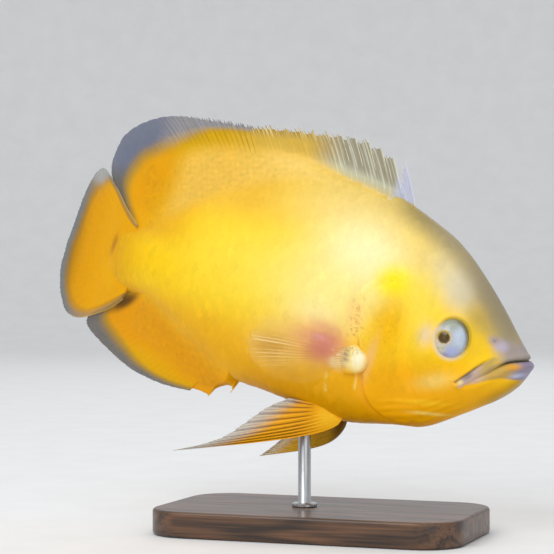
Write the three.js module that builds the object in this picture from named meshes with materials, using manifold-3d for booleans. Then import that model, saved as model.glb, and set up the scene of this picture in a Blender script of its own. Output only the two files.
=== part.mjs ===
// A life-size model of an adult lemon oscar fish on a display stand, in millimetres, +Z up.
// The head points along +X, nose down, the tail is bent to the fish's left, and the origin is
// the middle of the underside of the stand's base.
//
// The fish is laid out straight first: s runs along it from the root of the tail fin to the snout,
// n is sideways with the fish's left positive, and h is up from the line between those two ends.
import * as THREE from "three";
import { mergeVertices } from "three/addons/utils/BufferGeometryUtils.js";
import Module from "manifold-3d";

const wasm = await Module();
wasm.setup();

// Driving dimensions
const STANDARD_LENGTH = 220; // root of the tail fin to the snout
const MID_LENGTH = STANDARD_LENGTH / 2;
const GAP = 0.3; // between pieces that touch
const NOSE_DOWN = THREE.MathUtils.degToRad(12.7);
const BEND_START = 120; // the body is straight in front of this s
const BEND_RADIUS = 312;
const FLOOR_TO_AXIS = 104; // height of the middle of the body's axis
const BODY_SHIFT = new THREE.Vector2(-7, -1.5); // of the axis's middle from the base's middle
const SNOUT_END = 221.5;
const SNOUT_ROUNDING = 4;
const STALK_CUT = 15; // the tail stalk is parted from the trunk here
const STALK_END = -7;

const EYE = { s: 186.1, h: 5.3, radius: 7.9, tall: 9.3, bulge: 3.2, depth: 5.6 };
const NOSTRIL = { s: 204, h: 8, radius: 0.9 };
const LOBE = { s: 144.2, h: -14.2, length: 15.4, depth: 14.6, thickness: 2.9 }; // root of the breast fin
const DORSAL_SPINES = 13;
const DORSAL_RAYS = 20;
const ANAL_SPINES = 3;
const ANAL_RAYS = 15;
const DORSAL_FRONT = { root: 154.6, edge: 141.8 }; // s of the first spine's root and of its tip
const DORSAL_JOIN = { root: 78.8, edge: 61 }; // where the spiny and soft parts of the back fin meet
const ANAL_FRONT = { root: 85.6, edge: 80 };
const ANAL_JOIN = { root: 72.6, edge: 58 };
const JOIN_GAP = 1.2 * GAP; // along s, as the edges at a join lean
const FILLET = 5; // a fin's root line lies this deep in the body, and its flesh starts to climb there
const PROUD = 0.3; // the flesh at a fin's root stands out of the body by this and the fin's own skin
const BARE_FLESH = 0.08; // share of the flesh that is left where a fin has no scales
const REAR_FLESH = 0.2; // share of it that is left at a fin's rear end
const CAUDAL_RAYS = 16;
const PECTORAL_RAYS = 13;
const PELVIC_RAYS = 10; // five rays, each forked once
const MEMBRANE = 0.3; // half the thickness of the skin between two rays
const RIDGE = 0.3; // height of a ray above that skin

const BASE = { length: 150, width: 84, height: 12, corner: 20, bevel: 1.5 };
const ROD = { radius: 3, x: -8, y: -1.2, intoBase: 6, intoBody: 13 };
const BELLY_DROP = 41.5; // from the body's axis down to the belly, above the rod

// Colours, as seen on the fish
const YELLOW = 0xf3c63a;
const ORANGE = 0xe9a012;
const GILL = 0xf0b41e;
const LIP = 0xc9c3cf;
const FIN = 0xe6a52a;
const CLEAR_FIN = 0xe8cfa0;
const IRIS = 0xbfc6dc;
const WALNUT = 0x3d2a1e;
const STEEL = 0xb9bcc0;

// A smooth curve through [x, y] points, read as y for any x between its ends.
function profile(points) {
  const slopes = points.map((point, i) => {
    const before = points[Math.max(i - 1, 0)];
    const after = points[Math.min(i + 1, points.length - 1)];
    return (after[1] - before[1]) / (after[0] - before[0]);
  });
  return (value) => {
    const x = THREE.MathUtils.clamp(value, points[0][0], points.at(-1)[0]);
    let i = 0;
    while (i < points.length - 2 && x > points[i + 1][0]) i += 1;
    const [[x0, y0], [x1, y1]] = [points[i], points[i + 1]];
    const width = x1 - x0;
    const t = (x - x0) / width;
    const rise = (2 * t ** 3 - 3 * t ** 2 + 1) * y0 + (3 * t ** 2 - 2 * t ** 3) * y1;
    const lean = (t ** 3 - 2 * t ** 2 + t) * slopes[i] + (t ** 3 - t ** 2) * slopes[i + 1];
    return rise + lean * width;
  };
}

const smooth = THREE.MathUtils.smoothstep;
const lerp = THREE.MathUtils.lerp;
const bell = (distance, width) => Math.exp(-((distance / width) ** 2));

// The body's outline, its half width, the height where it is widest, and how square its section is
const back = profile([[-7, 18.4], [5, 19.6], [12, 21], [20, 25], [40, 37], [60, 48.5], [80, 57.5],
  [100, 63], [120, 65.3], [137, 63.8], [150, 59.8], [170, 50.8], [180, 44.2], [190, 35.6], [200, 25.4],
  [210, 14], [216.5, 6.8], [221.5, 1.6]]);
const belly = profile([[-7, -14.2], [5, -13.8], [20, -14.3], [35, -20], [50, -28], [65, -35.2],
  [80, -40.3], [100, -41.8], [120, -44], [138, -46.2], [165, -41.6], [178, -39.2], [190, -32],
  [200, -25.2], [210, -18], [217, -10.6], [221.5, -4.6]]);
const halfWidth = profile([[-7, 2.4], [5, 5.2], [20, 8.3], [40, 12.2], [60, 15.8], [80, 19], [100, 21.6],
  [120, 23.3], [140, 24.2], [155, 24], [170, 22.2], [182, 20], [195, 16.2], [205, 12.6], [214, 9],
  [221.5, 6]]);
const widestAt = profile([[-7, 2.2], [20, 4], [60, 5], [100, 3], [130, -2], [160, -6], [185, -5],
  [205, -4.5], [221.5, -1.6]]);
const squareAbove = profile([[-7, 1.9], [30, 1.75], [120, 1.75], [160, 1.9], [185, 2.1], [221.5, 2.1]]);
const squareBelow = profile([[-7, 1.9], [60, 1.75], [110, 2.1], [150, 2.1], [190, 1.95], [221.5, 2.1]]);

// The snout and the end of the tail stalk close in a rounded edge.
const BLUNT_END = 0.03; // keeps the last section open
function closing(s) {
  const front = THREE.MathUtils.clamp((s - SNOUT_END + SNOUT_ROUNDING) / SNOUT_ROUNDING, 0, 1);
  return Math.sqrt(Math.max(1 - front * front, BLUNT_END));
}

// Sizes of the section at s, grown by an offset: its middle, its reach up and down, and its half width
function section(s, offset = 0) {
  const level = widestAt(s);
  const close = closing(s);
  return {
    level,
    up: (back(s) - level) * close + offset,
    down: (level - belly(s)) * close + offset,
    half: halfWidth(s) * close + offset,
  };
}

// Half width of the body at a height, without relief
function surfaceAt(s, h) {
  const { level, up, down, half } = section(s);
  const above = h >= level;
  const square = above ? squareAbove(s) : squareBelow(s);
  const share = Math.min(Math.abs(h - level) / (above ? up : down), 1);
  return half * (1 - share ** square) ** (1 / square);
}

// Points along a smooth line through the given ones
function rounded(points, count) {
  const line = new THREE.SplineCurve(points.map(([s, h]) => new THREE.Vector2(s, h)));
  return line.getSpacedPoints(count).map((point) => [point.x, point.y]);
}

// Lines on the side of the head, as points (s, h)
const GAPE = [[226, 4.4], [219.6, 2.6], [214, 0.9], [210.6, -0.8], [207.4, -3.6], [204.6, -6.4], [199, -11.4],
  [193.6, -16]];
const FOLD = [[226, 9.4], [218.6, 6], [212, 3.6], [205.2, 1.2], [202.4, -1.6], [199, -5.2], [195.8, -8.9],
  [191.4, -13.6]];
const JAW_BACK = [[189.6, -19.4], [185, -28], [182, -52]];
const GILL_MARGIN = rounded([[155, 24.4], [148.4, 21], [143.4, 13], [143, 4], [145.6, -5], [148.7, -13],
  [150.2, -20], [152, -27.5], [156, -34], [163, -37.8], [171, -38.2]], 22);
const GILL_FRONT = rounded([[178, -34.6], [176, -27], [171, -18], [167, -8], [165.6, 4], [164.4, 15],
  [160.4, 22.6]], 12);
const NAPE_CUT = [[157, 80], [153.5, 45], [149.5, 24], [152, 0], [158, -22], [166, -40], [170, -60]];

// Distance from (s, h) to a line of points, and how far along the line the nearest point is, from 0 to 1
function nearLine(line, s, h) {
  let best = { distance: Infinity, along: 0 };
  for (let i = 0; i < line.length - 1; i += 1) {
    const [[s0, h0], [s1, h1]] = [line[i], line[i + 1]];
    const length2 = (s1 - s0) ** 2 + (h1 - h0) ** 2;
    const t = THREE.MathUtils.clamp(((s - s0) * (s1 - s0) + (h - h0) * (h1 - h0)) / length2, 0, 1);
    const distance = Math.hypot(s - lerp(s0, s1, t), h - lerp(h0, h1, t));
    if (distance < best.distance) best = { distance, along: (i + t) / (line.length - 1) };
  }
  return best;
}

// How far the skin of the head stands out of the plain section: lips along the gape, the fold over
// the upper jaw, the rim of the eye socket and the edge of the cheek
function headRelief(s, h) {
  const gape = nearLine(GAPE, s, h);
  const fold = nearLine(FOLD, s, h);
  const cheek = nearLine(GILL_FRONT, s, h).distance;
  const eye = Math.hypot((s - EYE.s) / EYE.radius, (h - EYE.h) / EYE.tall);
  const lips = 0.9 * bell(gape.distance - 1.9, 1.3) * smooth(1 - gape.along, 0, 0.2);
  const overJaw = 0.5 * bell(fold.distance - 1.5, 1.2) * smooth(fold.along, 0.3, 0.6);
  const rim = 0.5 * bell(EYE.radius * (eye - 1) - 0.9, 1.3);
  const edge = 0.25 * bell(cheek - 1.5, 1.6);
  return Math.max(lips, overJaw) + rim + edge;
}

// The gill cover stands proud along its free edge and is a thin flap there.
function gillRelief(s, h) {
  const edge = nearLine(GILL_MARGIN, s, h).distance;
  const cheek = nearLine(GILL_FRONT, s, h).distance;
  return 1 * bell(edge, 9) * smooth(cheek, 0, 5) + 0.35 * bell(cheek - 2, 1.5);
}

function gillBed(s, h) {
  return -1.2 - 2 * smooth(nearLine(GILL_MARGIN, s, h).distance, 2, 16);
}

// Closed solids from three.js geometry, and back
function solidOf(geometry) {
  geometry.deleteAttribute("normal");
  geometry.deleteAttribute("uv");
  const merged = mergeVertices(geometry, 1e-4);
  const vertProperties = new Float32Array(merged.attributes.position.array);
  const triVerts = new Uint32Array(merged.index.array);
  return new wasm.Manifold(new wasm.Mesh({ numProp: 3, vertProperties, triVerts }));
}

function solidFrom(points, triangles) {
  const geometry = new THREE.BufferGeometry();
  geometry.setAttribute("position", new THREE.Float32BufferAttribute(points.flat(), 3));
  geometry.setIndex(triangles.flat());
  return solidOf(geometry);
}

function geometryOf(solid) {
  const mesh = solid.getMesh();
  const geometry = new THREE.BufferGeometry();
  geometry.setAttribute("position", new THREE.BufferAttribute(new Float32Array(mesh.vertProperties), 3));
  geometry.setIndex(new THREE.BufferAttribute(new Uint32Array(mesh.triVerts), 1));
  return geometry;
}

// The largest closed surface of a solid, without loose scraps
function largest(solid) {
  return solid.decompose().sort((a, b) => b.volume() - a.volume())[0];
}

// The flesh between two values of s as one closed loft. around is the number of points on a section.
function flesh({ stations, around, offset = 0, relief = () => 0 }) {
  const points = [];
  const triangles = [];
  for (const s of stations) {
    const { level, up, down, half } = section(s, offset);
    for (let k = 0; k < around; k += 1) {
      const angle = Math.PI / 2 - (2 * Math.PI * k) / around; // the first point is on the back
      const [rise, across] = [Math.sin(angle), Math.cos(angle)];
      const power = 2 / (rise >= 0 ? squareAbove(s) : squareBelow(s));
      const h = level + Math.sign(rise) * (rise >= 0 ? up : down) * Math.abs(rise) ** power;
      const side = Math.sign(across) * half * Math.abs(across) ** power;
      const out = 1 + (relief(s, h) * Math.abs(across) ** 0.5) / half;
      points.push([s, side * out, h]);
    }
  }
  const last = stations.length - 1;
  for (let i = 0; i < last; i += 1) {
    for (let k = 0; k < around; k += 1) {
      const a = i * around + k;
      const b = i * around + ((k + 1) % around);
      triangles.push([a, b + around, b], [a, a + around, b + around]);
    }
  }
  for (const [ring, flip] of [[0, false], [last, true]]) {
    const centre = points.length;
    points.push([stations[ring], 0, widestAt(stations[ring])]);
    for (let k = 0; k < around; k += 1) {
      const a = ring * around + k;
      const b = ring * around + ((k + 1) % around);
      triangles.push(flip ? [centre, b, a] : [centre, a, b]);
    }
  }
  return solidFrom(points, triangles);
}

// Values from a to b in steps that fit, ends included
function steps(a, b, step) {
  const count = Math.max(1, Math.round(Math.abs(b - a) / step));
  return Array.from({ length: count + 1 }, (_, i) => lerp(a, b, i / count));
}

const BODY_STATIONS = [...steps(STALK_END, 20, 4.5), ...steps(27, 140, 7.1), ...steps(146, 188, 6),
  ...steps(192, 212, 4), ...steps(214, SNOUT_END, 1.25)];
const HEAD_STATIONS = [...steps(138, 174, 4.5), ...steps(177, 211, 3.1), ...steps(213, SNOUT_END, 1.4)];
const BODY_AROUND = 28;
const HEAD_AROUND = 38;

// A plate with the outline of points (s, h), standing across n from one side to the other
function prism(points, fromN = -60, toN = 60) {
  const shape = new THREE.Shape(points.map(([s, h]) => new THREE.Vector2(s, h)));
  const geometry = new THREE.ExtrudeGeometry(shape, { depth: toN - fromN, bevelEnabled: false });
  geometry.rotateX(Math.PI / 2); // the outline's second axis now points up, and the depth towards -n
  geometry.translate(0, toN, 0);
  return solidOf(geometry);
}

// An outline moved outwards by a distance, corner by corner
function grown(points, distance) {
  const count = points.length;
  const area = points.reduce((sum, [s, h], i) => {
    const [s1, h1] = points[(i + 1) % count];
    return sum + s * h1 - s1 * h;
  }, 0);
  const way = Math.sign(area);
  return points.map(([s, h], i) => {
    const before = points[(i + count - 1) % count];
    const after = points[(i + 1) % count];
    const a = new THREE.Vector2(s - before[0], h - before[1]).normalize();
    const b = new THREE.Vector2(after[0] - s, after[1] - h).normalize();
    const middle = new THREE.Vector2(a.y + b.y, -a.x - b.x).normalize();
    const reach = (way * distance) / Math.max(middle.dot(new THREE.Vector2(a.y, -a.x)), 0.5);
    return [s + middle.x * reach, h + middle.y * reach];
  });
}

// Bends a solid's tail to the fish's left.
function bent(solid) {
  return solid.warp((point) => {
    if (point[0] >= BEND_START) return;
    const turn = (BEND_START - point[0]) / BEND_RADIUS;
    const reach = BEND_RADIUS - point[1];
    point[0] = BEND_START - reach * Math.sin(turn);
    point[1] = BEND_RADIUS - reach * Math.cos(turn);
  });
}

// A closed plate over a grid: middle(u, v) is its middle surface and half(u, v) its half thickness.
// Both faces are split into triangles alike.
function plate({ columns, rows, middle, half, across = () => new THREE.Vector3(0, 1, 0) }) {
  const points = [];
  const triangles = [];
  const wide = columns.length;
  const faceSize = wide * rows.length;
  for (const side of [-1, 1]) {
    for (const v of rows) {
      for (const u of columns) {
        const point = middle(u, v).clone().addScaledVector(across(u, v), side * half(u, v));
        points.push([point.x, point.y, point.z]);
      }
    }
  }
  const quad = (a, b, c, d) => triangles.push([a, b, c], [a, c, d]);
  for (let j = 0; j < rows.length - 1; j += 1) {
    for (let i = 0; i < wide - 1; i += 1) {
      const a = j * wide + i;
      triangles.push([a, a + 1, a + 1 + wide], [a, a + 1 + wide, a + wide]);
      const b = a + faceSize;
      triangles.push([b, b + 1 + wide, b + 1], [b, b + wide, b + 1 + wide]);
    }
  }
  const border = [];
  for (let i = 0; i < wide - 1; i += 1) border.push(i);
  for (let j = 0; j < rows.length - 1; j += 1) border.push(j * wide + wide - 1);
  for (let i = wide - 1; i > 0; i -= 1) border.push((rows.length - 1) * wide + i);
  for (let j = rows.length - 1; j > 0; j -= 1) border.push(j * wide);
  border.forEach((a, i) => {
    const b = border[(i + 1) % border.length];
    quad(a, a + faceSize, b + faceSize, b);
  });
  const solid = solidFrom(points, triangles);
  return solid.volume() > 0 ? solid : solidFrom(points, triangles.map(([a, b, c]) => [a, c, b]));
}

// Columns of a fin: on each ray, and half way to the next one
function rayColumns(count) {
  return Array.from({ length: 2 * count - 1 }, (_, i) => i / (2 * count - 2));
}

// 1 on a ray and 0 on the skin between two
function onRay(u, count) {
  return Math.abs(Math.cos(u * (count - 1) * Math.PI)) > 0.5 ? 1 : 0;
}

// Rows of a fin from its root at 0 to its edge at 1, closer together near the root
function rootRows(count) {
  return steps(0, 1, 1 / count).map((share) => share ** 1.5);
}

// Half the thickness of the flesh that runs from the body's side up a fin without a crease.
// way is 1 for a fin on the back and -1 for one on the belly.
function fillet(s, h, outline, way) {
  const start = outline(s) - way * FILLET;
  const wide = surfaceAt(s, start);
  const slope = surfaceAt(s, start - way / 2) - surfaceAt(s, start + way / 2);
  const past = Math.max(way * (h - start), 0);
  return wide * Math.exp((-past * slope) / wide) + PROUD;
}

// The height to which scaled flesh climbs the two fins
const dorsalSheath = profile([[-20, 38], [0, 49], [20, 57], [34, 62.6], [46, 66], [60, 67.7], [80, 69.6],
  [96, 69.4], [109, 67.4], [117, 65.6], [130, 63.2], [153, 57]]);
const analSheath = profile([[-20, -26], [0, -26], [20, -32], [40, -40], [60, -45.6], [72, -47.5], [84, -46]]);

function dorsalFlesh(s, h) {
  const inner = Math.max(s, 12);
  const sheath = dorsalSheath(s);
  const bare = smooth(h, sheath - 5, sheath + 3) * smooth(h - back(inner), -4, 2);
  return fillet(inner, h, back, 1) * lerp(1, BARE_FLESH, bare) * lerp(REAR_FLESH, 1, smooth(s, 0, 20));
}

function analFlesh(s, h) {
  const inner = Math.max(s, 20);
  const bare = smooth(analSheath(s) - h, -5, 3) * smooth(belly(inner) - h, -4, 2);
  return fillet(inner, h, belly, -1) * lerp(1, BARE_FLESH, bare) * lerp(REAR_FLESH, 1, smooth(s, 8, 26));
}

// A fin in the fish's middle plane, between a root line and an edge line, both read from front to rear.
// lean bows the rays, sway moves the fin's edge sideways, and thick is half the thickness of its flesh.
function medianFin({ root, edge, rays, rows, lean, sway, thick }) {
  const rootLine = new THREE.SplineCurve(root.map(([s, h]) => new THREE.Vector2(s, h)));
  const edgeLine = new THREE.SplineCurve(edge.map(([s, h]) => new THREE.Vector2(s, h)));
  const middle = (u, v) => {
    const start = rootLine.getPointAt(u);
    const end = edgeLine.getPointAt(u);
    const bow = lean(u) * 4 * v * (1 - v);
    const notch = v === 1 && !onRay(u, rays) ? 0.012 : 0;
    const s = lerp(start.x, end.x, v - notch) + bow;
    const h = lerp(start.y, end.y, v - notch);
    return new THREE.Vector3(s, sway(s, h, v), h);
  };
  const half = (u, v) => {
    const ray = onRay(u, rays) * RIDGE * (1 - 0.5 * v);
    const { x, z } = middle(u, v);
    return MEMBRANE + Math.max(ray, thick(x, z, v));
  };
  return plate({ columns: rayColumns(rays), rows, middle, half });
}

// Rounded edges of the three lobes
const DORSAL_EDGE = [[DORSAL_JOIN.edge, 80.6], [47, 80], [30, 79], [14, 77.2], [0, 74], [-13, 68],
  [-21, 61.5], [-24.8, 53], [-24.2, 43.2], [-17.8, 36.2], [-8, 29.2], [1, 23.2]];
const ANAL_EDGE = [[ANAL_JOIN.edge, -51.8], [44, -52.6], [30, -52], [16, -50.2], [2, -46.4], [-10, -42],
  [-18, -37.4], [-17.4, -32.6], [-9, -27.2], [0, -21.8], [9, -17.6]];
const CAUDAL_EDGE = [[5, 20.6], [-4, 25], [-13, 32], [-24, 40.4], [-30.5, 42.6], [-36, 38.6], [-42.4, 27],
  [-46.4, 10], [-47.8, -6], [-45, -20], [-37.6, -30], [-30, -33.8], [-22, -32.6], [-10, -26.4], [0, -20],
  [6.5, -16.4]];

function swayDorsal(s, h) {
  const high = Math.max(h - back(s), 0) / 40;
  return high * (1.6 * Math.sin(s / 17) + 3 * (1 - smooth(s, -25, 30)));
}

function swayAnal(s, h) {
  const low = Math.max(belly(s) - h, 0) / 30;
  return low * (1.2 * Math.sin(s / 15 + 1) + 2.6 * (1 - smooth(s, -20, 25)));
}

function dorsalSoft() {
  return medianFin({
    root: [DORSAL_JOIN.root, 56, 33, 12].map((s) => [s, back(s) - FILLET]),
    edge: DORSAL_EDGE,
    rays: DORSAL_RAYS,
    rows: rootRows(6),
    lean: (u) => 3 * Math.sin(Math.PI * Math.min(u * 1.2, 1)),
    sway: swayDorsal,
    thick: dorsalFlesh,
  });
}

function analSoft() {
  return medianFin({
    root: [ANAL_JOIN.root, 55.5, 37, 18].map((s) => [s, belly(s) + FILLET]),
    edge: ANAL_EDGE,
    rays: ANAL_RAYS,
    rows: rootRows(5),
    lean: (u) => 2 * Math.sin(Math.PI * Math.min(u * 1.2, 1)),
    sway: swayAnal,
    thick: analFlesh,
  });
}

// A row of spines with notched skin between them. tipH gives the height of each spine's point, and thick
// is half the thickness of the flesh, which comes in behind the first spine.
function spinyFin({ count, rootS, rootH, tipS, tipH, rowCount, notchDepth, sway, thick, fleshy }) {
  const columns = [];
  for (let i = 0; i < count; i += 1) {
    columns.push(i);
    if (i < count - 1) columns.push(i + 0.22, i + 0.55, i + 0.85);
  }
  const share = (u) => {
    const within = u - Math.floor(u);
    if (within === 0) return 1;
    const depth = notchDepth(Math.floor(u));
    if (within < 0.4) return 1 - depth * 0.2;
    return within < 0.7 ? 1 - depth * 0.8 : 1 - depth;
  };
  const middle = (u, v) => {
    const t = u / (count - 1);
    const s = lerp(rootS(t), tipS(t), v * share(u));
    const h = lerp(rootH(rootS(t)), tipH(tipS(t)), v * share(u));
    return new THREE.Vector3(s, sway(s, h), h);
  };
  const half = (u, v) => {
    const spine = Number.isInteger(u) ? 0.75 * (1 - 0.75 * v) : 0;
    const { x, z } = middle(u, v);
    return MEMBRANE + Math.max(spine, thick(x, z) * smooth(u / (count - 1), ...fleshy));
  };
  return plate({ columns, rows: rootRows(rowCount), middle, half });
}

function dorsalSpiny() {
  const edgeHeight = profile([[DORSAL_JOIN.edge, 80.8], [80, 83], [100, 84.8], [112, 86], [122, 85.2],
    [130, 82.8], [136, 79.4], [DORSAL_FRONT.edge, 78.2]]);
  return spinyFin({
    count: DORSAL_SPINES,
    rootS: (t) => lerp(DORSAL_FRONT.root, DORSAL_JOIN.root + JOIN_GAP, t),
    rootH: (s) => back(s) - FILLET,
    tipS: (t) => lerp(DORSAL_FRONT.edge, DORSAL_JOIN.edge + JOIN_GAP, t),
    tipH: edgeHeight,
    rowCount: 4,
    notchDepth: (i) => [0.4, 0.16, 0.14][i] ?? lerp(0.13, 0.05, i / DORSAL_SPINES),
    sway: swayDorsal,
    thick: dorsalFlesh,
    fleshy: [0, 0.14],
  });
}

function analSpiny() {
  return spinyFin({
    count: ANAL_SPINES,
    rootS: (t) => lerp(ANAL_FRONT.root, ANAL_JOIN.root + JOIN_GAP, t),
    rootH: (s) => belly(s) + FILLET,
    tipS: (t) => lerp(ANAL_FRONT.edge, ANAL_JOIN.edge + JOIN_GAP, t),
    tipH: profile([[ANAL_JOIN.edge, -51.8], [68.6, -52.2], [ANAL_FRONT.edge, -47.4]]),
    rowCount: 4,
    notchDepth: (i) => [0.36, 0.06][i],
    sway: swayAnal,
    thick: analFlesh,
    fleshy: [0.1, 0.45],
  });
}

// The tail fin is thick as the stalk at its root and spreads in a round fan.
function caudal() {
  const root = [[9, 15], [0, 8.5], [-2, 1], [-1, -5.5], [9, -10]];
  return medianFin({
    root,
    edge: CAUDAL_EDGE,
    rays: CAUDAL_RAYS,
    rows: steps(0, 1, 1 / 6),
    lean: () => 0,
    sway: (s, h) => -0.8 * smooth(-s, 0, 40) + 1.2 * Math.sin(h / 14) * smooth(-s, 5, 45),
    thick: (s, h, v) => 1.9 * (1 - smooth(v, 0, 0.35)),
  });
}

// A paired fin: a fan of rays from a root line to an edge line, both three-dimensional.
// bow pushes the rays outwards between root and edge, and droop lowers those in front near the root.
function pairedFin({ side, root, edge, rays, rowCount, rootHalf, bow, droop = 0 }) {
  const toCurve = (points) => new THREE.CatmullRomCurve3(
    points.map(([s, n, h]) => new THREE.Vector3(s, side * n, h)), false, "centripetal");
  const rootLine = toCurve(root);
  const edgeLine = toCurve(edge);
  const middle = (u, v) => {
    const point = rootLine.getPointAt(u).lerp(edgeLine.getPointAt(u), v);
    point.y += side * bow * 4 * v * (1 - v) * Math.sin(Math.PI * u);
    point.z -= droop * Math.sin(Math.PI * v ** 0.42) * (1 - u) ** 2;
    return point;
  };
  const across = (u, v) => {
    const step = 0.01;
    const alongU = middle(Math.min(u + step, 1), v).sub(middle(Math.max(u - step, 0), v));
    const alongV = middle(u, Math.min(v + step, 1)).sub(middle(u, Math.max(v - step, 0)));
    return alongU.cross(alongV).normalize();
  };
  const half = (u, v) => MEMBRANE + onRay(u, rays) * RIDGE * (1 - 0.6 * v)
    + (rootHalf - MEMBRANE) * (1 - smooth(v, 0, 0.3));
  return plate({ columns: rayColumns(rays), rows: steps(0, 1, 1 / rowCount), middle, half, across });
}

function pelvic(side) {
  const edge = side < 0
    ? [[66.6, 20, -78.6], [79.4, 18.8, -72.2], [90, 17.5, -65], [97.6, 15, -56.4], [105.2, 12.5, -47.4],
      [114.7, 11, -40.2]]
    : [[93.6, 18, -76.4], [100, 17, -70], [106, 16, -63], [110, 15, -56], [114, 13.4, -49.5],
      [117, 12, -44]];
  const front = side < 0 ? 140.8 : 138.4;
  return pairedFin({
    side,
    root: [[front, 7.6, -43.6], [front - 3.2, 8.8, -42.8], [front - 6.4, 9.9, -41.5],
      [front - 9.6, 10.9, -39.9]],
    edge,
    rays: PELVIC_RAYS,
    rowCount: 7,
    rootHalf: 1.3,
    bow: 1.5,
    droop: side < 0 ? 4.6 : 10.4,
  });
}

function pectoral(side) {
  const rootN = (s, h) => surfaceAt(s, h) + 1.2;
  return pairedFin({
    side,
    root: [[142, rootN(142, -9), -9], [140.5, rootN(140.5, -13), -13], [140.5, rootN(140.5, -17), -17],
      [142, rootN(142, -20.5), -20.5]],
    edge: [[104, 26.5, -3.5], [98.5, 29.5, -9.5], [97, 31, -16.5], [99.5, 31.5, -23.5], [106, 30.5, -29],
      [114, 29, -31.6], [124, 27, -30.6]],
    rays: PECTORAL_RAYS,
    rowCount: 5,
    rootHalf: 0.9,
    bow: 1.5,
  });
}

// The fleshy lobe that the breast fin grows from, flatter towards the fin
function pectoralLobe(side) {
  const lobe = new THREE.SphereGeometry(1, 14, 10);
  const points = lobe.attributes.position;
  for (let i = 0; i < points.count; i += 1) {
    points.setY(i, points.getY(i) * lerp(0.3, 1, smooth(points.getX(i), -0.9, 0.4)));
  }
  lobe.scale(LOBE.length / 2, LOBE.thickness, LOBE.depth / 2);
  lobe.rotateY(THREE.MathUtils.degToRad(-8));
  lobe.translate(LOBE.s, side * surfaceAt(LOBE.s, LOBE.h), LOBE.h);
  return solidOf(lobe);
}

// The eyeball, set into the head square to its surface
function eyeball(side, clearance = 0) {
  const step = 1;
  const slopeS = (surfaceAt(EYE.s + step, EYE.h) - surfaceAt(EYE.s - step, EYE.h)) / (2 * step);
  const slopeH = (surfaceAt(EYE.s, EYE.h + step) - surfaceAt(EYE.s, EYE.h - step)) / (2 * step);
  const outward = new THREE.Vector3(-slopeS, side, -slopeH).normalize();
  const ball = new THREE.SphereGeometry(1, 18, 11);
  ball.rotateX(Math.PI / 2);
  ball.scale(EYE.radius + clearance, EYE.tall + clearance, EYE.depth + clearance);
  ball.applyQuaternion(new THREE.Quaternion().setFromUnitVectors(new THREE.Vector3(0, 0, 1), outward));
  const centre = new THREE.Vector3(EYE.s, side * surfaceAt(EYE.s, EYE.h), EYE.h);
  centre.addScaledVector(outward, EYE.bulge - EYE.depth);
  ball.translate(centre.x, centre.y, centre.z);
  return solidOf(ball);
}

function nostril(side) {
  const pit = new THREE.SphereGeometry(NOSTRIL.radius, 12, 8);
  pit.translate(NOSTRIL.s, side * surfaceAt(NOSTRIL.s, NOSTRIL.h), NOSTRIL.h);
  return solidOf(pit);
}

const SIDES = { right: -1, left: 1 };
const body = flesh({ stations: BODY_STATIONS, around: BODY_AROUND });
const bodyClear = flesh({ stations: BODY_STATIONS, around: BODY_AROUND, offset: GAP });
const headFlesh = flesh({ stations: HEAD_STATIONS, around: HEAD_AROUND, relief: headRelief });
const gillFlesh = flesh({ stations: HEAD_STATIONS, around: HEAD_AROUND, relief: gillRelief });
const gillFloor = flesh({ stations: HEAD_STATIONS, around: HEAD_AROUND, relief: gillBed });
const gillBedClear = (s, h) => gillBed(s, h) - GAP;
const gillFloorClear = flesh({ stations: HEAD_STATIONS, around: HEAD_AROUND, relief: gillBedClear });
const aboveGill = (s, h) => gillRelief(s, h) + 2 * GAP;
const gillClear = flesh({ stations: HEAD_STATIONS, around: HEAD_AROUND, relief: aboveGill });

const gillOutline = [...GILL_MARGIN, ...GILL_FRONT];
const reverse = (points) => [...points].reverse();

// Outlines of the parts of the head, each drawn past the surface on its open sides
const headOutline = [...NAPE_CUT, [240, -60], [240, 80]];
const upperJawOutline = [...FOLD, ...reverse(GAPE)];
const lowerJawOutline = [...GAPE, ...JAW_BACK, [240, -52]];

function gillPlate(side, around) {
  const reach = side < 0 ? [-60, -4] : [4, 60];
  return prism(grown(gillOutline, around), ...reach);
}

function makeHead() {
  let head = headFlesh.intersect(prism(grown(headOutline, -GAP / 2)));
  head = head.subtract(prism(grown(upperJawOutline, GAP))).subtract(prism(grown(lowerJawOutline, GAP)));
  for (const side of Object.values(SIDES)) {
    head = head.subtract(gillPlate(side, GAP).subtract(gillFloorClear));
    head = head.subtract(eyeball(side, GAP)).subtract(nostril(side));
  }
  return largest(head);
}

// All that lies behind the stalk's cut, moved back by a distance
function behindCut(moved) {
  const s = STALK_CUT - moved;
  return prism([[s, -90], [s, 90], [-90, 90], [-90, -90]]);
}

function makeTrunk() {
  const front = prism(grown(headOutline, GAP / 2));
  let trunk = body.subtract(front).subtract(behindCut(GAP / 2));
  for (const side of Object.values(SIDES)) {
    trunk = trunk.subtract(gillPlate(side, GAP).subtract(gillFloorClear));
  }
  return largest(trunk);
}

function makeStalk() {
  return largest(body.intersect(behindCut(1.5 * GAP)));
}

function makeGillCover(side) {
  return largest(gillFlesh.intersect(gillPlate(side, 0)).subtract(gillFloor));
}

function makePectoral(side) {
  const whole = pectoral(side).add(pectoralLobe(side));
  return largest(whole.subtract(bodyClear).subtract(gillClear.intersect(gillPlate(side, 2 * GAP))));
}

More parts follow.
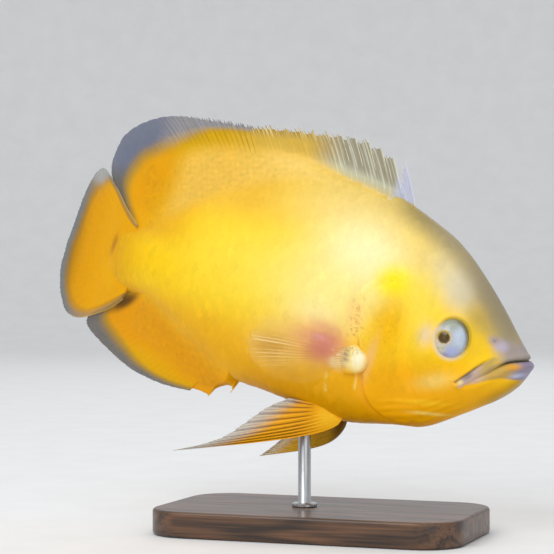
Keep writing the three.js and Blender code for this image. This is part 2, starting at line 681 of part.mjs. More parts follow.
// Parts of the fish by name: solid, colour and roughness
const parts = new Map();
parts.set("head", [makeHead(), YELLOW, 0.35]);
parts.set("upper_jaw", [largest(headFlesh.intersect(prism(upperJawOutline))), LIP, 0.4]);
parts.set("lower_jaw", [largest(headFlesh.intersect(prism(grown(lowerJawOutline, -GAP / 2)))), LIP, 0.4]);
parts.set("trunk", [makeTrunk(), YELLOW, 0.35]);
parts.set("tail_stalk", [makeStalk(), ORANGE, 0.35]);
parts.set("dorsal_fin_spiny", [largest(dorsalSpiny().subtract(bodyClear)), CLEAR_FIN, 0.4]);
parts.set("dorsal_fin_soft", [largest(dorsalSoft().subtract(bodyClear)), FIN, 0.4]);
parts.set("anal_fin_spiny", [largest(analSpiny().subtract(bodyClear)), CLEAR_FIN, 0.4]);
parts.set("anal_fin_soft", [largest(analSoft().subtract(bodyClear)), FIN, 0.4]);
parts.set("caudal_fin", [largest(caudal().subtract(bodyClear)), FIN, 0.4]);
for (const [name, side] of Object.entries(SIDES)) {
  parts.set(`eye_${name}`, [eyeball(side), IRIS, 0.08]);
  parts.set(`gill_cover_${name}`, [makeGillCover(side), GILL, 0.35]);
  parts.set(`pectoral_fin_${name}`, [makePectoral(side), CLEAR_FIN, 0.4]);
  parts.set(`pelvic_fin_${name}`, [largest(pelvic(side).subtract(bodyClear)), FIN, 0.4]);
}

// The fish's own group carries its dive, and the stand is level.
const fish = new THREE.Group();
fish.rotation.y = NOSE_DOWN;
const axisMiddle = new THREE.Vector3(MID_LENGTH, 0, 0).applyEuler(fish.rotation);
fish.position.set(BODY_SHIFT.x, BODY_SHIFT.y, FLOOR_TO_AXIS).sub(axisMiddle);
fish.updateMatrix();

function standRod(clearance = 0) {
  const bottom = BASE.height - ROD.intoBase + GAP - clearance;
  const top = FLOOR_TO_AXIS - BELLY_DROP + ROD.intoBody + clearance;
  const rod = new THREE.CylinderGeometry(ROD.radius + clearance, ROD.radius + clearance, top - bottom, 20);
  rod.rotateX(Math.PI / 2);
  rod.translate(ROD.x, ROD.y, (top + bottom) / 2);
  return rod;
}

function standBase() {
  const { length, width, height, corner, bevel } = BASE;
  const [x, y] = [length / 2 - bevel, width / 2 - bevel];
  const shape = new THREE.Shape();
  shape.moveTo(-x + corner, -y);
  shape.lineTo(x - corner, -y).absarc(x - corner, -y + corner, corner, -Math.PI / 2, 0);
  shape.lineTo(x, y - corner).absarc(x - corner, y - corner, corner, 0, Math.PI / 2);
  shape.lineTo(-x + corner, y).absarc(-x + corner, y - corner, corner, Math.PI / 2, Math.PI);
  shape.lineTo(-x, -y + corner).absarc(-x + corner, -y + corner, corner, Math.PI, 1.5 * Math.PI);
  const slab = new THREE.ExtrudeGeometry(shape, {
    depth: height - 2 * bevel,
    bevelThickness: bevel,
    bevelSize: bevel,
    bevelSegments: 1,
    curveSegments: 6,
  });
  slab.translate(0, 0, bevel);
  return slab;
}

function addMesh(group, name, geometry, color, roughness, metalness = 0) {
  geometry.computeVertexNormals();
  const mesh = new THREE.Mesh(geometry, new THREE.MeshStandardMaterial({ color, roughness, metalness }));
  mesh.name = name;
  group.add(mesh);
}

const rodInFish = standRod(GAP).applyMatrix4(fish.matrix.clone().invert());
for (const [name, [solid, color, roughness]] of parts) {
  let piece = bent(solid);
  if (name === "trunk") piece = largest(piece.subtract(solidOf(rodInFish)));
  addMesh(fish, name, geometryOf(piece), color, roughness);
}

const stand = new THREE.Group();
const baseSolid = solidOf(standBase()).subtract(solidOf(standRod(GAP)));
addMesh(stand, "stand_base", geometryOf(baseSolid), WALNUT, 0.35);
addMesh(stand, "stand_rod", standRod(), STEEL, 0.3, 1);

const model = new THREE.Group();
model.add(fish, stand);

export default model;
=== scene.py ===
"""A life-size lemon oscar fish on its display stand, dressed over its measured frame.

The fish is laid out straight first, in millimetres: s runs from the root of the tail fin to the
snout, n is sideways with the fish's left positive, and h is up. posed() bends and turns it into
place, in metres. Colours are written as they look, in red, green and blue from 0 to 255.
"""
import math
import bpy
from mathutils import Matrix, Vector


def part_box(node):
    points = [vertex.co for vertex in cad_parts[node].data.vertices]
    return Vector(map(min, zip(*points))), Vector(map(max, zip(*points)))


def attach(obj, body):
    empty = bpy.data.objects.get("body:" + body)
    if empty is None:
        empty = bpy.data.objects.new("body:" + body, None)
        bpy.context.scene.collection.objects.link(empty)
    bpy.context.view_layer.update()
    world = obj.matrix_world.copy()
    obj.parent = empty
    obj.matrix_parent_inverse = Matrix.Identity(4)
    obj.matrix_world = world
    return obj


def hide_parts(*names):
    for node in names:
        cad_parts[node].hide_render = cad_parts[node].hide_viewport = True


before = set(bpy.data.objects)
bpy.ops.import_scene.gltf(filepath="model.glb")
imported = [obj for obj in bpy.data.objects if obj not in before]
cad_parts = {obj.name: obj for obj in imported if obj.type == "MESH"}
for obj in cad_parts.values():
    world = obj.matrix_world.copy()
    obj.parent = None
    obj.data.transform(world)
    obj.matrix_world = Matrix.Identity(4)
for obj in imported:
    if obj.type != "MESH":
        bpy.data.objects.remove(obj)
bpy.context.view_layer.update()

from types import SimpleNamespace

import bpy
import numpy as np
from mathutils import Vector

MM = 0.001

# Pose
NOSE_DOWN = math.radians(12.7)
BEND_START = 120.0
BEND_RADIUS = 312.0
AXIS_MIDDLE = 110.0
CENTRE = np.array([-7.0, -1.5, 104.0])
SIDES = ((-1, "right"), (1, "left"))

# Body
SNOUT_END = 220.7
SNOUT_ROUNDING = 4.4
STALK_END = -11.0
INSET = 0.35  # the skin lies this far inside the solid body, under the scales
EYE = SimpleNamespace(s=186.1, h=5.3, radius=7.8, tall=9.2, bulge=3.2, depth=5.6)
PUPIL = SimpleNamespace(radius=2.6, back=3.6, down=0.4)
NOSTRIL = (204.0, 8.0)
LOBE = SimpleNamespace(s=144.2, h=-14.2, length=15.4, depth=14.6, thickness=2.7)

# Fins
DORSAL_SPINES = 13
DORSAL_RAYS = 20
ANAL_SPINES = 3
ANAL_RAYS = 15
CAUDAL_RAYS = 16
PECTORAL_RAYS = 13
PELVIC_RAYS = 10
DORSAL_JOIN = SimpleNamespace(root=78.8, edge=61.0)
ANAL_JOIN = SimpleNamespace(root=72.6, edge=58.0)
FILLET = 5.0  # flesh starts to climb a fin this far inside the outline of the body
ROOT_DEPTH = 7.0  # and the fin itself starts this far inside
OVERLAP = 0.8  # the stiff part of each fin runs this far into the soft part
FIN_HALF = 0.24  # half the thickness of bare fin skin
PER_RAY = 27  # columns of a soft fin's mesh from one ray to the next
PER_SPINE = 30

# Stand
BASE = SimpleNamespace(length=150.0, width=84.0, height=12.0, corner=20.0, bevel=1.5)
ROD = SimpleNamespace(radius=3.0, x=-8.0, y=-1.2)

rng = np.random.default_rng(11)


# Curves and small functions
def profile(points):
    """A smooth curve through (x, y) points, read as y for any x between its ends."""
    xs, ys = np.array(points, float).T
    before = np.maximum(np.arange(len(xs)) - 1, 0)
    after = np.minimum(np.arange(len(xs)) + 1, len(xs) - 1)
    slopes = (ys[after] - ys[before]) / (xs[after] - xs[before])

    def at(x):
        x = np.clip(x, xs[0], xs[-1])
        i = np.clip(np.searchsorted(xs, x, side="right") - 1, 0, len(xs) - 2)
        width = xs[i + 1] - xs[i]
        t = (x - xs[i]) / width
        rise = (2 * t**3 - 3 * t**2 + 1) * ys[i] + (3 * t**2 - 2 * t**3) * ys[i + 1]
        lean = (t**3 - 2 * t**2 + t) * slopes[i] + (t**3 - t**2) * slopes[i + 1]
        return rise + lean * width

    return at


def spline(points, fine=60):
    """A smooth line through points, read at shares of its length from 0 to 1."""
    p = np.array(points, float)
    padded = np.vstack([p[:1], p, p[-1:]])
    t = np.linspace(0, 1, fine, endpoint=False)[:, None]
    runs = []
    for a, b, c, d in zip(padded, padded[1:], padded[2:], padded[3:]):
        v0, v1 = (c - a) / 2, (d - b) / 2
        runs.append((2 * b - 2 * c + v0 + v1) * t**3 + (-3 * b + 3 * c - 2 * v0 - v1) * t**2 + v0 * t + b)
    line = np.vstack([*runs, p[-1:]])
    reach = np.concatenate([[0], np.cumsum(np.linalg.norm(np.diff(line, axis=0), axis=1))])
    reach /= reach[-1]

    def at(u):
        return np.stack([np.interp(u, reach, line[:, k]) for k in range(p.shape[1])], -1)

    return at


def drawn(points, count):
    """Evenly spaced points of a smooth line."""
    return spline(points)(np.linspace(0, 1, count))


def ramp(x, low, high):
    """0 below low and 1 above high, with a smooth climb between them."""
    t = np.clip((x - low) / (high - low), 0, 1)
    return t * t * (3 - 2 * t)


def fade(x, low, high):
    return 1 - ramp(x, low, high)


def bell(distance, width):
    return np.exp(-((distance / width) ** 2))


def mix(a, b, share):
    return a + (b - a) * share


def height_on(line, s):
    """The height at s of a line that runs backwards along the fish."""
    return np.interp(s, line[::-1, 0], line[::-1, 1])


def near(line, s, h):
    """Distance from each (s, h) to a line of points, and how far along it the nearest point is."""
    best = np.full(np.shape(s), np.inf)
    along = np.zeros(np.shape(s))
    last = len(line) - 1
    for i in range(last):
        (s0, h0), (s1, h1) = line[i], line[i + 1]
        length2 = (s1 - s0) ** 2 + (h1 - h0) ** 2
        t = np.clip(((s - s0) * (s1 - s0) + (h - h0) * (h1 - h0)) / length2, 0, 1)
        distance = np.hypot(s - s0 - t * (s1 - s0), h - h0 - t * (h1 - h0))
        closer = distance < best
        best = np.where(closer, distance, best)
        along = np.where(closer, (i + t) / last, along)
    return best, along


def inside(outline, s, h):
    """Whether each (s, h) is inside a closed outline."""
    odd = np.zeros(np.shape(s), bool)
    for (s0, h0), (s1, h1) in zip(outline, np.roll(outline, -1, axis=0)):
        crosses = (h0 > h) != (h1 > h)
        rise = np.where(h1 == h0, 1e-9, h1 - h0)
        odd ^= crosses & (s < (s1 - s0) * (h - h0) / rise + s0)
    return odd


def ripple(s, h, scale, seed):
    """Smooth, slow unevenness from about -1 to 1, from a few crossed waves."""
    wave_rng = np.random.default_rng(seed)
    total = np.zeros(np.shape(s))
    for _ in range(7):
        angle, phase = wave_rng.uniform(0, 2 * math.pi, 2)
        length = scale * wave_rng.uniform(0.6, 1.7)
        total = total + np.sin((s * math.cos(angle) + h * math.sin(angle)) * 2 * math.pi / length + phase)
    return total / 4.0


def posed(points):
    """Points (s, n, h) of the straight fish, bent and turned into place, in metres."""
    s, n, h = points[..., 0], points[..., 1], points[..., 2]
    turn = np.maximum(BEND_START - s, 0) / BEND_RADIUS
    reach = BEND_RADIUS - n
    x = np.where(s < BEND_START, BEND_START - reach * np.sin(turn), s) - AXIS_MIDDLE
    y = np.where(s < BEND_START, BEND_RADIUS - reach * np.cos(turn), n)
    c, d = math.cos(NOSE_DOWN), math.sin(NOSE_DOWN)
    return (np.stack([x * c + h * d, y, h * c - x * d], -1) + CENTRE) * MM


# The body's outline, its half width, the height where it is widest, and how square its section is
back = profile([
    (-7, 18.4), (5, 19.6), (12, 21), (20, 25), (40, 37), (60, 48.5), (80, 57.5), (100, 63), (120, 65.3),
    (137, 63.8), (150, 59.8), (170, 50.8), (180, 44.2), (190, 35.6), (200, 25.4), (210, 14), (216.5, 6.8),
    (221.5, 1.6)])
belly = profile([
    (-7, -14.2), (5, -13.8), (20, -14.3), (35, -20), (50, -28), (65, -35.2), (80, -40.3), (100, -41.8),
    (120, -44), (138, -46.2), (165, -41.6), (178, -39.2), (190, -32), (200, -25.2), (210, -18), (217, -10.6),
    (221.5, -4.6)])
half_width = profile([
    (-14, 0.5), (-7, 2.4), (5, 5.2), (20, 8.3), (40, 12.2), (60, 15.8), (80, 19), (100, 21.6), (120, 23.3),
    (140, 24.2), (155, 24), (170, 22.2), (182, 20), (195, 16.2), (205, 12.6), (214, 9), (221.5, 6)])
widest_at = profile([
    (-7, 2.2), (20, 4), (60, 5), (100, 3), (130, -2), (160, -6), (185, -5), (205, -4.5), (221.5, -1.6)])
square_above = profile([(-7, 1.9), (30, 1.75), (120, 1.75), (160, 1.9), (185, 2.1), (221.5, 2.1)])
square_below = profile([(-7, 1.9), (60, 1.75), (110, 2.1), (150, 2.1), (190, 1.95), (221.5, 2.1)])

# Lines on the side of the head
GAPE = drawn([(226, 4.4), (219.6, 2.6), (214, 0.9), (210.6, -0.8), (207.4, -3.6), (204.6, -6.4), (199, -11.4),
              (193.6, -16)], 60)
FOLD = drawn([(205.2, 1.2), (202.4, -1.6), (199, -5.2), (195.8, -8.9), (191.4, -13.6)], 24)
LIP_FOLD = drawn([(220.6, -6.6), (216.5, -7.6), (210.5, -7.8), (205.5, -9.4), (201, -12), (195.4, -15)], 24)
GILL_MARGIN = drawn([(155, 24.4), (148.4, 21), (143.4, 13), (143, 4), (145.6, -5), (148.7, -13), (150.2, -20),
                     (152, -27.5), (156, -34), (163, -37.8), (171, -38.2)], 50)
GILL_FRONT = drawn([
    (178, -34.6), (176, -27), (171, -18), (167, -8), (165.6, 4), (164.4, 15), (160.4, 22.6)], 30)
GILL_OUTLINE = np.vstack([GILL_MARGIN, GILL_FRONT])


def section(s):
    """Sizes of the section at s: its middle, its reach up and down, and its half width."""
    level = widest_at(s)
    front = np.clip((s - SNOUT_END + SNOUT_ROUNDING) / SNOUT_ROUNDING, 0, 1)
    close = np.sqrt(np.maximum(1 - front * front, 0))
    tail = 1 - 0.3 * np.clip(s / STALK_END, 0, 1) ** 2
    return level, (back(s) - level) * close * tail, (level - belly(s)) * close * tail, half_width(s) * close


def side_at(s, h):
    """Half width of the plain body at a height."""
    level, up, down, half = section(s)
    above = h >= level
    square = np.where(above, square_above(s), square_below(s))
    share = np.minimum(np.abs(h - level) / np.where(above, up, down), 1)
    return half * (1 - share**square) ** (1 / square)


def eye_reach(s, h):
    """Distance from the middle of the eye, as if it were round, and how open its socket's rim is there."""
    ahead, up = s - EYE.s, h - EYE.h
    facing = (ahead * 0.64 + up * 0.77) / np.maximum(np.hypot(ahead, up), 0.1)
    return np.hypot(ahead / EYE.radius, up / EYE.tall) * 8.1, ramp(facing, -0.5, 0.6)


def pores():
    """The small sense pores round the eye, along the cheek's edge and under the jaw."""
    for k in range(9):
        angle = math.radians(150 + 26 * k)
        yield EYE.s + 12.6 * math.cos(angle), EYE.h + 12.2 * math.sin(angle), 0.14
    for k in range(6):
        x, h = GILL_FRONT[4 + 4 * k]
        yield x + 2.6, h, 0.16
    for k in range(4):
        yield 206.5 - 5.2 * k, -13.4 - 3.4 * k, 0.14


def head_relief(s, h):
    """How far the skin stands out of the plain section: lips, folds, eye rim, gill covers, pores."""
    gape, along = near(GAPE, s, h)
    parted = fade(along, 0.34, 0.62)  # towards its corner the mouth is only a crease
    out = -1.7 * bell(gape, 0.4) * parted - 0.3 * bell(gape, 0.5) * (1 - parted) * fade(along, 0.9, 1)
    lips = np.where(h < height_on(GAPE, s), 1.25 * bell(gape - 2.6, 1.9), 0.6 * bell(gape - 1.6, 1.2))
    out += lips * fade(along, 0.55, 0.95)
    out -= 0.45 * bell(near(LIP_FOLD, s, h)[0], 0.9) * ramp(h - belly(s), 0.5, 4)
    fold, fold_along = near(FOLD, s, h)
    beside = np.where(h > height_on(FOLD, s), 0.75 * bell(fold - 1.1, 1.6), 0.35 * bell(fold - 1.4, 1.1))
    out += (beside - 0.65 * bell(fold, 0.45)) * ramp(fold_along, 0, 0.35)
    out += 0.7 * bell(np.hypot(s - 192.4, h + 15.2), 1.7)  # the corner of the mouth
    eye, rim = eye_reach(s, h)
    out -= 1.9 * fade(eye, mix(6.3, 6.6, rim), mix(7.3, 7.8, rim))
    out += mix(0.25, 0.5, rim) * bell(eye - 8.9, 1.2)
    nostril = np.hypot(s - NOSTRIL[0], h - NOSTRIL[1])
    out += 0.2 * bell(nostril - 1.3, 0.7) - 0.4 * bell(nostril, 0.5)
    cheek, margin = near(GILL_FRONT, s, h)[0], near(GILL_MARGIN, s, h)[0]
    out += 0.16 * bell(cheek - 1.4, 1.6) - 0.1 * bell(cheek, 0.9)
    cover = 0.95 * bell(margin, 8) * ramp(cheek, 0, 4)
    out += np.where(inside(GILL_OUTLINE, s, h), cover, -0.55 * bell(margin - 0.5, 1.1))
    for x, y, depth in pores():
        out -= depth * bell(np.hypot(s - x, h - y), 0.42)
    throat = ramp(s, 155, 163) * fade(s, 192, 198) * ramp(-h, 20, 26)
    for k in range(4):  # folds under the jaw
        above = h - belly(s) - 3.2 - 3.3 * k - 0.05 * (s - 175) - 0.5 * ripple(s, 0 * s, 30, 70 + k)
        out += throat * (0.24 - 0.03 * k) * (bell(above, 1.0) - 0.6 * bell(above - 1.5, 0.6))
    return out


def tail_line(h):
    """Where the stalk's scales end and the tail fin's skin starts."""
    return -2.2 - 0.16 * h


def relief(s, h):
    """The head's forms, slow unevenness, the line at the tail's root and the pit behind the gill cover."""
    uneven = 0.10 * ripple(s, h, 24, 3) + 0.05 * ripple(s, h, 9, 5)
    line = 0.3 * bell(s - tail_line(h), 0.8) * ramp(15 - np.abs(h - 1.5), 0, 6)
    pit = 0.9 * bell(np.hypot((s - 139.5) / 1.2, (h + 15) / 1.6), 2.6)
    return head_relief(s, h) * ramp(s, 132, 140) + uneven - line - pit - INSET


# Colours
def seen(red, green, blue):
    """A colour as it looks, turned into light values."""
    c = np.array([red, green, blue]) / 255.0
    return np.where(c <= 0.04045, c / 12.92, ((c + 0.055) / 1.055) ** 2.4)


def shades(first, second, share):
    """From one colour to another by a share at each point."""
    return mix(seen(*first), seen(*second), share[..., None])


def patch(s, h, centre, radii, turn=0.0, power=2.0):
    """1 in the middle of an oval patch, fading to 0 outside it. turn is in degrees."""
    c, d = math.cos(math.radians(turn)), math.sin(math.radians(turn))
    x, y = s - centre[0], h - centre[1]
    u, v = (x * c + y * d) / radii[0], (y * c - x * d) / radii[1]
    return np.exp(-((u * u + v * v) ** (power / 2)))


class Paint:
    """A colour at each (s, h), with further colours laid over it by a share from 0 to 1."""

    def __init__(self, s, h, ground):
        self.s, self.h = s, h
        ground = seen(*ground) if isinstance(ground, tuple) else ground
        self.colour = np.zeros((*np.shape(s), 3)) + ground

    def lay(self, shade, share):
        shade = seen(*shade) if isinstance(shade, tuple) else shade
        self.colour = self.colour + (shade - self.colour) * np.clip(share, 0, 1)[..., None]

    def spots(self, *rows):
        """Oval spots, each a colour, a strength, a middle, two radii, and maybe a turn and a sharpness."""
        for shade, strength, *oval in rows:
            self.lay(shade, strength * patch(self.s, self.h, *oval))


# Spots on the flank. The first, pale cream high on the flank, is a painted highlight. The last, a brighter
# orange low on the belly, is painted light against the shade under the body. The two between are pale patches
# of the flank.
FLANK_SPOTS_AND_PAINTED_LIGHT = [
    ((252, 238, 176), 1, (139, 32), (24, 18), -14, 2.4), ((252, 234, 144), 0.8, (126, 14), (26, 17)),
    ((250, 230, 168), 0.6, (123, 1), (13, 8)), ((250, 184, 0), 0.7, (78, -35), (12, 7)),
]
# The third spot, a darker grey low on the brow near its outline, is partly the forehead's grey and partly
# painted shade.
FOREHEAD_SPOTS = [
    ((226, 206, 146), 0.8, (174, 38), (13, 12), -35),
    ((216, 205, 172), 0.98, (184.5, 28.5), (13, 10.5), -35, 3),
    ((172, 158, 126), 0.75, (195, 26), (10, 7), -48), ((186, 158, 76), 0.9, (198, 15.5), (10, 6.5), -45, 3),
]
CHEEK_SPOTS = [
    ((252, 224, 76), 0.9, (168, 17), (9, 12)), ((253, 232, 30), 1, (155, 24), (9, 8), 0, 3),
    ((245, 186, 0), 0.95, (157, 2), (9, 17), -8, 3), ((250, 176, 0), 0.95, (166, -25), (26, 13), 10, 3),
    ((250, 184, 10), 0.8, (189, -12), (12, 6), 25), ((248, 208, 104), 0.85, (183, -15.2), (8.5, 3.4), 22),
    ((238, 192, 42), 0.8, (197.4, 3), (3.6, 7)), ((228, 204, 172), 0.8, (175, 4.5), (3.6, 5)),
]
SNOUT_SPOTS = [
    ((186, 176, 198), 0.85, (207.4, 6.6), (3.4, 2.8), 10, 3),
    ((160, 146, 156), 0.75, (203.6, 8.4), (2.2, 2.0), 0, 3),
    ((132, 120, 130), 0.35, NOSTRIL, (0.6, 0.6), 0, 3),
]


def body_tint(s, h):
    """The colour of the skin at each (s, h), the same on both sides, with painted highlight and painted shade
    laid in.
    """
    s, h = np.broadcast_arrays(np.asarray(s, float), np.asarray(h, float))
    skin = Paint(s, h, (250, 204, 14))
    skin.lay((238, 172, 0), ramp(-h, -2, 20))
    skin.lay((230, 158, 0), ramp(-h, 20, 40))
    skin.spots(((250, 217, 66), 0.9, (92, 18), (46, 24)))
    skin.lay((242, 188, 52), ramp(h, 28, 46) * fade(s, 70, 130))
    skin.lay((240, 204, 104), ramp(h, 32, 56) * ramp(s, 70, 120))
    rear = fade(s, 15, 62)
    skin.lay((236, 180, 8), rear * ramp(np.abs(h - 4), 4, 22))
    skin.lay((246, 196, 4), rear * fade(np.abs(h - 4), 2, 16))
    skin.lay((222, 162, 0), fade(s, -4, 26) * 0.95)
    skin.lay((228, 162, 0), ramp(-h, 8, 16) * fade(s, 5, 60))
    skin.lay((226, 164, 8), ramp(h, 10, 24) * fade(s, 22, 56) * 0.8)
    skin.spots(*FLANK_SPOTS_AND_PAINTED_LIGHT)
    head_tint(skin)
    peach = 0.7 * (0.8 + 0.2 * ripple(s, 5 * h, 22, 23))
    pink = 0.9 * (0.78 + 0.22 * ripple(s, 3 * h, 14, 21))
    skin.spots(((246, 204, 104), peach, (112, -12), (20, 12), 12, 3),
               ((232, 156, 112), pink, (124.5, -7.5), (13, 7), 14, 2.6),
               ((210, 122, 112), 0.84, (130.8, -11.4), (9.4, 8.0), 20, 2.6),
               ((222, 148, 160), 0.6, (126.4, -8), (3.2, 1.4)))
    breast_marks(skin)
    under = back(s) - h
    # Painted shade: the skin darkens on the nape and along the upper flank towards the back.
    nape = fade(under, 0, 13) * ramp(s, 128, 168) * fade(s, 200, 214)
    upper_flank_shade = fade(under, 0, 24) * ramp(s, 40, 75) * fade(s, 128, 168)
    skin.colour = skin.colour * (1 - 0.27 * nape - 0.1 * upper_flank_shade)[..., None]
    # Painted shade: a darker grey along the top outline, from behind the head to the snout.
    edge = fade(under, 0, 12) * ramp(s, 132, 160) * fade(s, 208, 216)
    skin.lay(shades((134, 118, 78), (150, 138, 112), ramp(s, 150, 175)), edge * 0.8)
    rim = np.minimum(under, h - belly(s))
    tail = np.maximum(ramp(tail_line(h) - s, 0, 1.6), fade(rim, 1, 6) * fade(s, 2, 22))
    skin.lay(tail_base_tint(s, h).colour, tail)
    skin.lay((206, 150, 12), bell(s - tail_line(h), 0.7) * 0.4)
    mouth_tint(skin)
    return skin.colour


def tail_base_tint(s, h):
    """The orange of the tail fin's root, with the dark mark of an oscar's eye spot all but faded out."""
    skin = Paint(s, h, (222, 158, 0))
    skin.spots(((228, 168, 0), 0.7, (-6, -6), (8, 8), 0, 3),
               ((168, 110, 22), 0.75, (-7.6, 7.6), (2.0, 5.4), -8, 3))
    return skin


def head_tint(skin):
    """The grey forehead and snout, the orange cheek and gill cover, and the pale ring behind the eye, with
    painted shade in olive at the upper front of the eye's socket.
    """
    s, h = skin.s, skin.h
    skin.spots(*FOREHEAD_SPOTS, *CHEEK_SPOTS)
    eye, rim = eye_reach(s, h)
    skin.lay((226, 206, 178), bell(eye - 8.0, 0.9) * (1 - rim) * 0.75)
    # Painted shade: an olive ring on the skin at the upper front of the eye's socket.
    skin.lay((150, 132, 50), bell(eye - 8.1, 0.7) * rim * 0.6)
    snout = ramp(s + 0.5 * (h - 5), 200, 211)
    skin.lay(shades((152, 144, 150), (166, 152, 112), ramp(h, 7, 13)), snout * ramp(h, -3, 1) * 0.92)
    skin.spots(*SNOUT_SPOTS)


def breast_marks(skin):
    """Fine brown specks in front of the breast fin, two pale folds below it, and painted highlights along two
    folds under the jaw.
    """
    s, h = skin.s, skin.h
    specks = ramp(ripple(s, h, 1.5, 31) + 0.7 * ripple(s, h, 0.9, 33), 0.5, 1.0)
    flecks = ramp(ripple(0.6 * s, 2.2 * h, 2.2, 35), 0.2, 0.8)
    skin.spots(((240, 186, 128), 0.6, (152, -12), (2.2, 10), -8),
               ((244, 200, 120), 0.7, (141, 6), (5, 9), 8, 3),
               ((176, 116, 66), specks * 0.8, (142.4, 2), (3.6, 12), 8, 3),
               ((206, 132, 20), specks * 0.35, (158, 2), (9, 12), 0, 3),
               ((240, 220, 160), 0.7, (136.6, -17.6), (3.8, 2.8), 10, 3),
               ((250, 240, 222), flecks * 0.7, (136.8, -14.4), (3.4, 3.4), 0, 3))
    for place, top, bottom, strength in ((133, 22, 33, 0.6), (147.2, 18, 29, 0.7)):
        fold = bell(s - place, 0.42) * ramp(-h, top, top + 2) * fade(-h, bottom - 2, bottom)
        skin.lay((255, 224, 120), fold * strength)
    # Painted highlights: bright streaks along the folds under the jaw.
    skin.spots(((255, 206, 40), 0.5, (178, -26.5), (12, 1.4), 8, 3),
               ((255, 220, 110), 0.8, (181, -31.2), (9, 0.8), 6, 3))


def mouth_tint(skin):
    """The lips, the jaw and the dark lines of the mouth, which are painted shade in its crease and in the
    fold beside it, with painted shade along the chin's lower edge.
    """
    s, h = skin.s, skin.h
    gape, along = near(GAPE, s, h)
    below = h < height_on(GAPE, s)
    lower = below * ramp(h - height_on(LIP_FOLD, s), -0.6, 0.8)
    rise = h - belly(s)
    # Painted shade: a darker olive-orange along the chin's lower edge.
    skin.lay((180, 134, 20), fade(rise, 0, 9) * ramp(s, 196, 210) * 0.85)
    skin.lay((176, 160, 120), fade(rise, 0.5, 2.5) * ramp(s, 204, 212) * 0.6)
    skin.lay(shades((208, 178, 150), (190, 156, 82), ramp(s, 200, 206)), lower * ramp(s, 195, 200) * 0.92)
    skin.lay((142, 132, 154), lower * ramp(s, 211, 218))
    skin.spots(((222, 158, 48), 0.95 * below, (213.8, -1.6), (3.4, 1.5), 12, 3),
               ((184, 190, 214), 0.85, (216.6, -5.2), (3.2, 1.1), 24))
    strip = ramp(s, 191, 195) * fade(s, 204, 210) * ~below * ramp(height_on(FOLD, s) - h, -0.3, 0.8)
    skin.lay(shades((188, 170, 176), (176, 152, 92), ramp(s, 197.5, 204)), strip * 0.85)
    skin.spots(((246, 226, 150), 0.8, (193.6, -13.2), (1.2, 1.2), 0, 3))
    # Painted shade: the dark line in the crease of the mouth, and a greyer band on the upper lip above it,
    # partly the lip's grey and partly shade under the lip.
    line = bell(gape, mix(0.4, 0.75, ramp(s, 205, 212))) * (1 - 0.6 * ramp(along, 0.36, 0.6))
    skin.lay((92, 84, 62), line * fade(along, 0.6, 0.75) * 0.9)
    skin.lay((140, 130, 116), bell(gape - 1.1, 1.0) * ~below * ramp(s, 201, 207) * 0.5)
    # Painted shade: a dark line in the fold beside the mouth, deepest at its lower end.
    fold, fold_along = near(FOLD, s, h)
    skin.lay((132, 116, 84), bell(fold, 0.55) * ramp(fold_along, 0.1, 0.6) * 0.7)
    skin.spots(((118, 106, 108), 0.7, (196.2, -9.9), (2.8, 1.0), 46, 3))


# Meshes
def grid_quads(rows, columns, wrap=False):
    """Faces of a grid of points, row by row, joined round into a ring if wrap is set."""
    j, i = np.meshgrid(np.arange(rows - 1), np.arange(columns if wrap else columns - 1), indexing="ij")
    a, b = j * columns + i, j * columns + (i + 1) % columns
    return np.stack([a, b, b + columns, a + columns], -1).reshape(-1, 4)


def grid_rim(rows, columns):
    """The points round the edge of a grid, in order."""
    last = rows * columns - 1
    return np.concatenate([
        np.arange(columns - 1), np.arange(rows - 1) * columns + columns - 1,
        last - np.arange(columns - 1), (rows - 1 - np.arange(rows - 1)) * columns])


def split(quads):
    return np.vstack([quads[:, [0, 1, 2]], quads[:, [0, 2, 3]]])


def tube(rings, start, end):
    """A closed body through rings of points, with a fan of faces to one point at each end."""
    rows, around = rings.shape[:2]
    k = np.arange(around)
    after = (k + 1) % around
    last = (rows - 1) * around
    fans = [np.stack([after, k, np.full(around, last + around)], -1),
            np.stack([last + k, last + after, np.full(around, last + around + 1)], -1)]
    points = np.vstack([rings.reshape(-1, 3), start, end])
    return points, np.vstack([split(grid_quads(rows, around, wrap=True)), *fans])


def closed_sheet(right, left):
    """A thin closed body between two grids of points of the same size."""
    rows, columns = right.shape[:2]
    size = rows * columns
    quads = grid_quads(rows, columns)
    rim = grid_rim(rows, columns)
    after = np.roll(rim, -1)
    border = np.stack([rim, rim + size, after + size, after], -1)
    faces = np.vstack([quads[:, ::-1], quads + size, border[:, ::-1]])
    return np.concatenate([right.reshape(-1, 3), left.reshape(-1, 3)]), faces


def normals_of(points, wrap=False):
    """Unit normals of a grid of points, from its two directions."""
    down = np.gradient(points, axis=0)
    if wrap:
        along = np.roll(points, -1, axis=1) - np.roll(points, 1, axis=1)
    else:
        along = np.gradient(points, axis=1)
    normal = np.cross(down, along)
    return normal / np.maximum(np.linalg.norm(normal, axis=-1, keepdims=True), 1e-9)


def outward(points, faces):
    """Faces turned so that the closed mesh has its outside out."""
    corners = [points[faces[:, k]] for k in range(faces.shape[1])]
    volume = 0.0
    for b, c in zip(corners[1:], corners[2:]):
        volume += np.einsum("ij,ij->i", corners[0], np.cross(b, c)).sum()
    return faces if volume > 0 else faces[:, ::-1]


